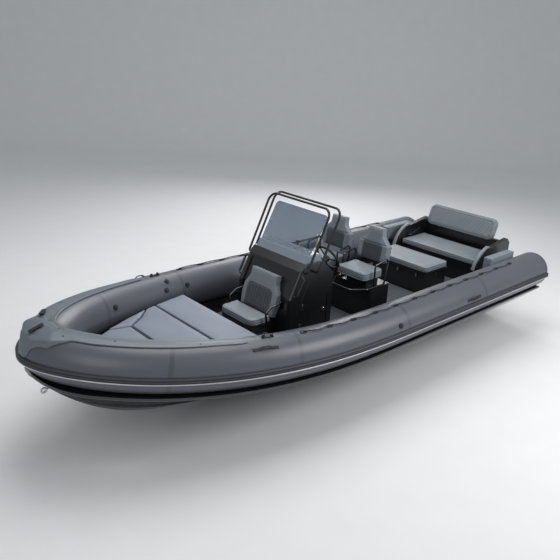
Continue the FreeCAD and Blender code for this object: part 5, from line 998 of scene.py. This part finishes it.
def bench_back_fields(points, normals):
    """Slanted channels inside a border that follows the backrest's edge."""
    field = inside_rounded(points[:, 1], points[:, 2], (0, 0.79), (0.555, 0.125), 0.06)
    field = on_face(field, normals[:, 0], -1.0)
    gap, sunk = channels(points[:, 1], points[:, 2], 0.05, -0.5, 0.007)
    seam = np.minimum(abs(field), np.where(field > 0, gap + 0.001, 1.0))
    return seam, no_panel(points), pressed(field, 0.004) + np.where(field > 0, sunk, 0)


def plain_fields(points, normals):
    """No seams and no panel."""
    return np.ones(len(points)), no_panel(points), np.zeros(len(points))


dress(black_gelcoat, "bench")
dress(steel_painted_dark_reflection, "bench_grab_rails")
bench_pads = blown_pads(["bench_backrest", "bench_cushion"], 0.011, 0.009, 0.012)
sew(bench_pads[0], "bench_backrest", seat_vinyl, "boat", bench_back_fields)
sew(bench_pads[1], "bench_cushion", seat_vinyl, "boat",
    with_roll(border_seams(0.358, 0.446), -2.90, 0.004))
arm_names = ["bench_arm_pads", "side_pads"]
for pad, name in zip(blown_pads(arm_names, 0.009, 0.004, 0.006), arm_names):
    sew(pad, name, seat_vinyl, "boat", plain_fields)

# Lifelines
# Braided polyester rope, led from patch to patch along both tubes. Its strands
# are drawn 5 mm across and 1 mm deep, so that the braid shows.

braided_rope = blank("braided_polyester_rope")
place = add(braided_rope, "ShaderNodeTexCoord")
strands = add(braided_rope, "ShaderNodeTexVoronoi", Vector=(place, "Object"), Scale=1000 / 5)
tone = add(braided_rope, "ShaderNodeMix", data_type="RGBA", Factor=(strands, "Distance"),
           A=linear("#222224"), B=linear("#101011"))
skin = add(braided_rope, "ShaderNodeBump", Height=(strands, "Distance"), Distance=0.001,
           Strength=0.9)
shader = add(braided_rope, "ShaderNodeBsdfPrincipled", Base_Color=(tone, "Result"), Roughness=0.8,
             Normal=(skin, "Normal"), Sheen_Weight=0.2)
add(braided_rope, "ShaderNodeOutputMaterial", Surface=(shader, "BSDF"))
dress(braided_rope, "lifelines")

# Valves
# Each inflation valve has a screwed nylon cap on its moulded flange, which
# stands 12 mm off the tube. They are placed by station and angle.

valve_cap = [(0.021, -0.002), (0.021, 0.004), (0.018, 0.007), (0.010, 0.0065), (0.008, 0.0035)]
valves = ((-0.156, 21), (2.47, 157), (1.539, 126), (1.605, 151), (1.254, 150))
caps = []
for side in (1, -1):
    for station, degrees in valves:
        length = length_at(station, side)
        spot = on_tube(length, degrees, 0.012)
        caps.append(turned(valve_cap, spot, spot - on_tube(length, degrees, -0.05)))
piece("valve_caps", caps, moulded_nylon)
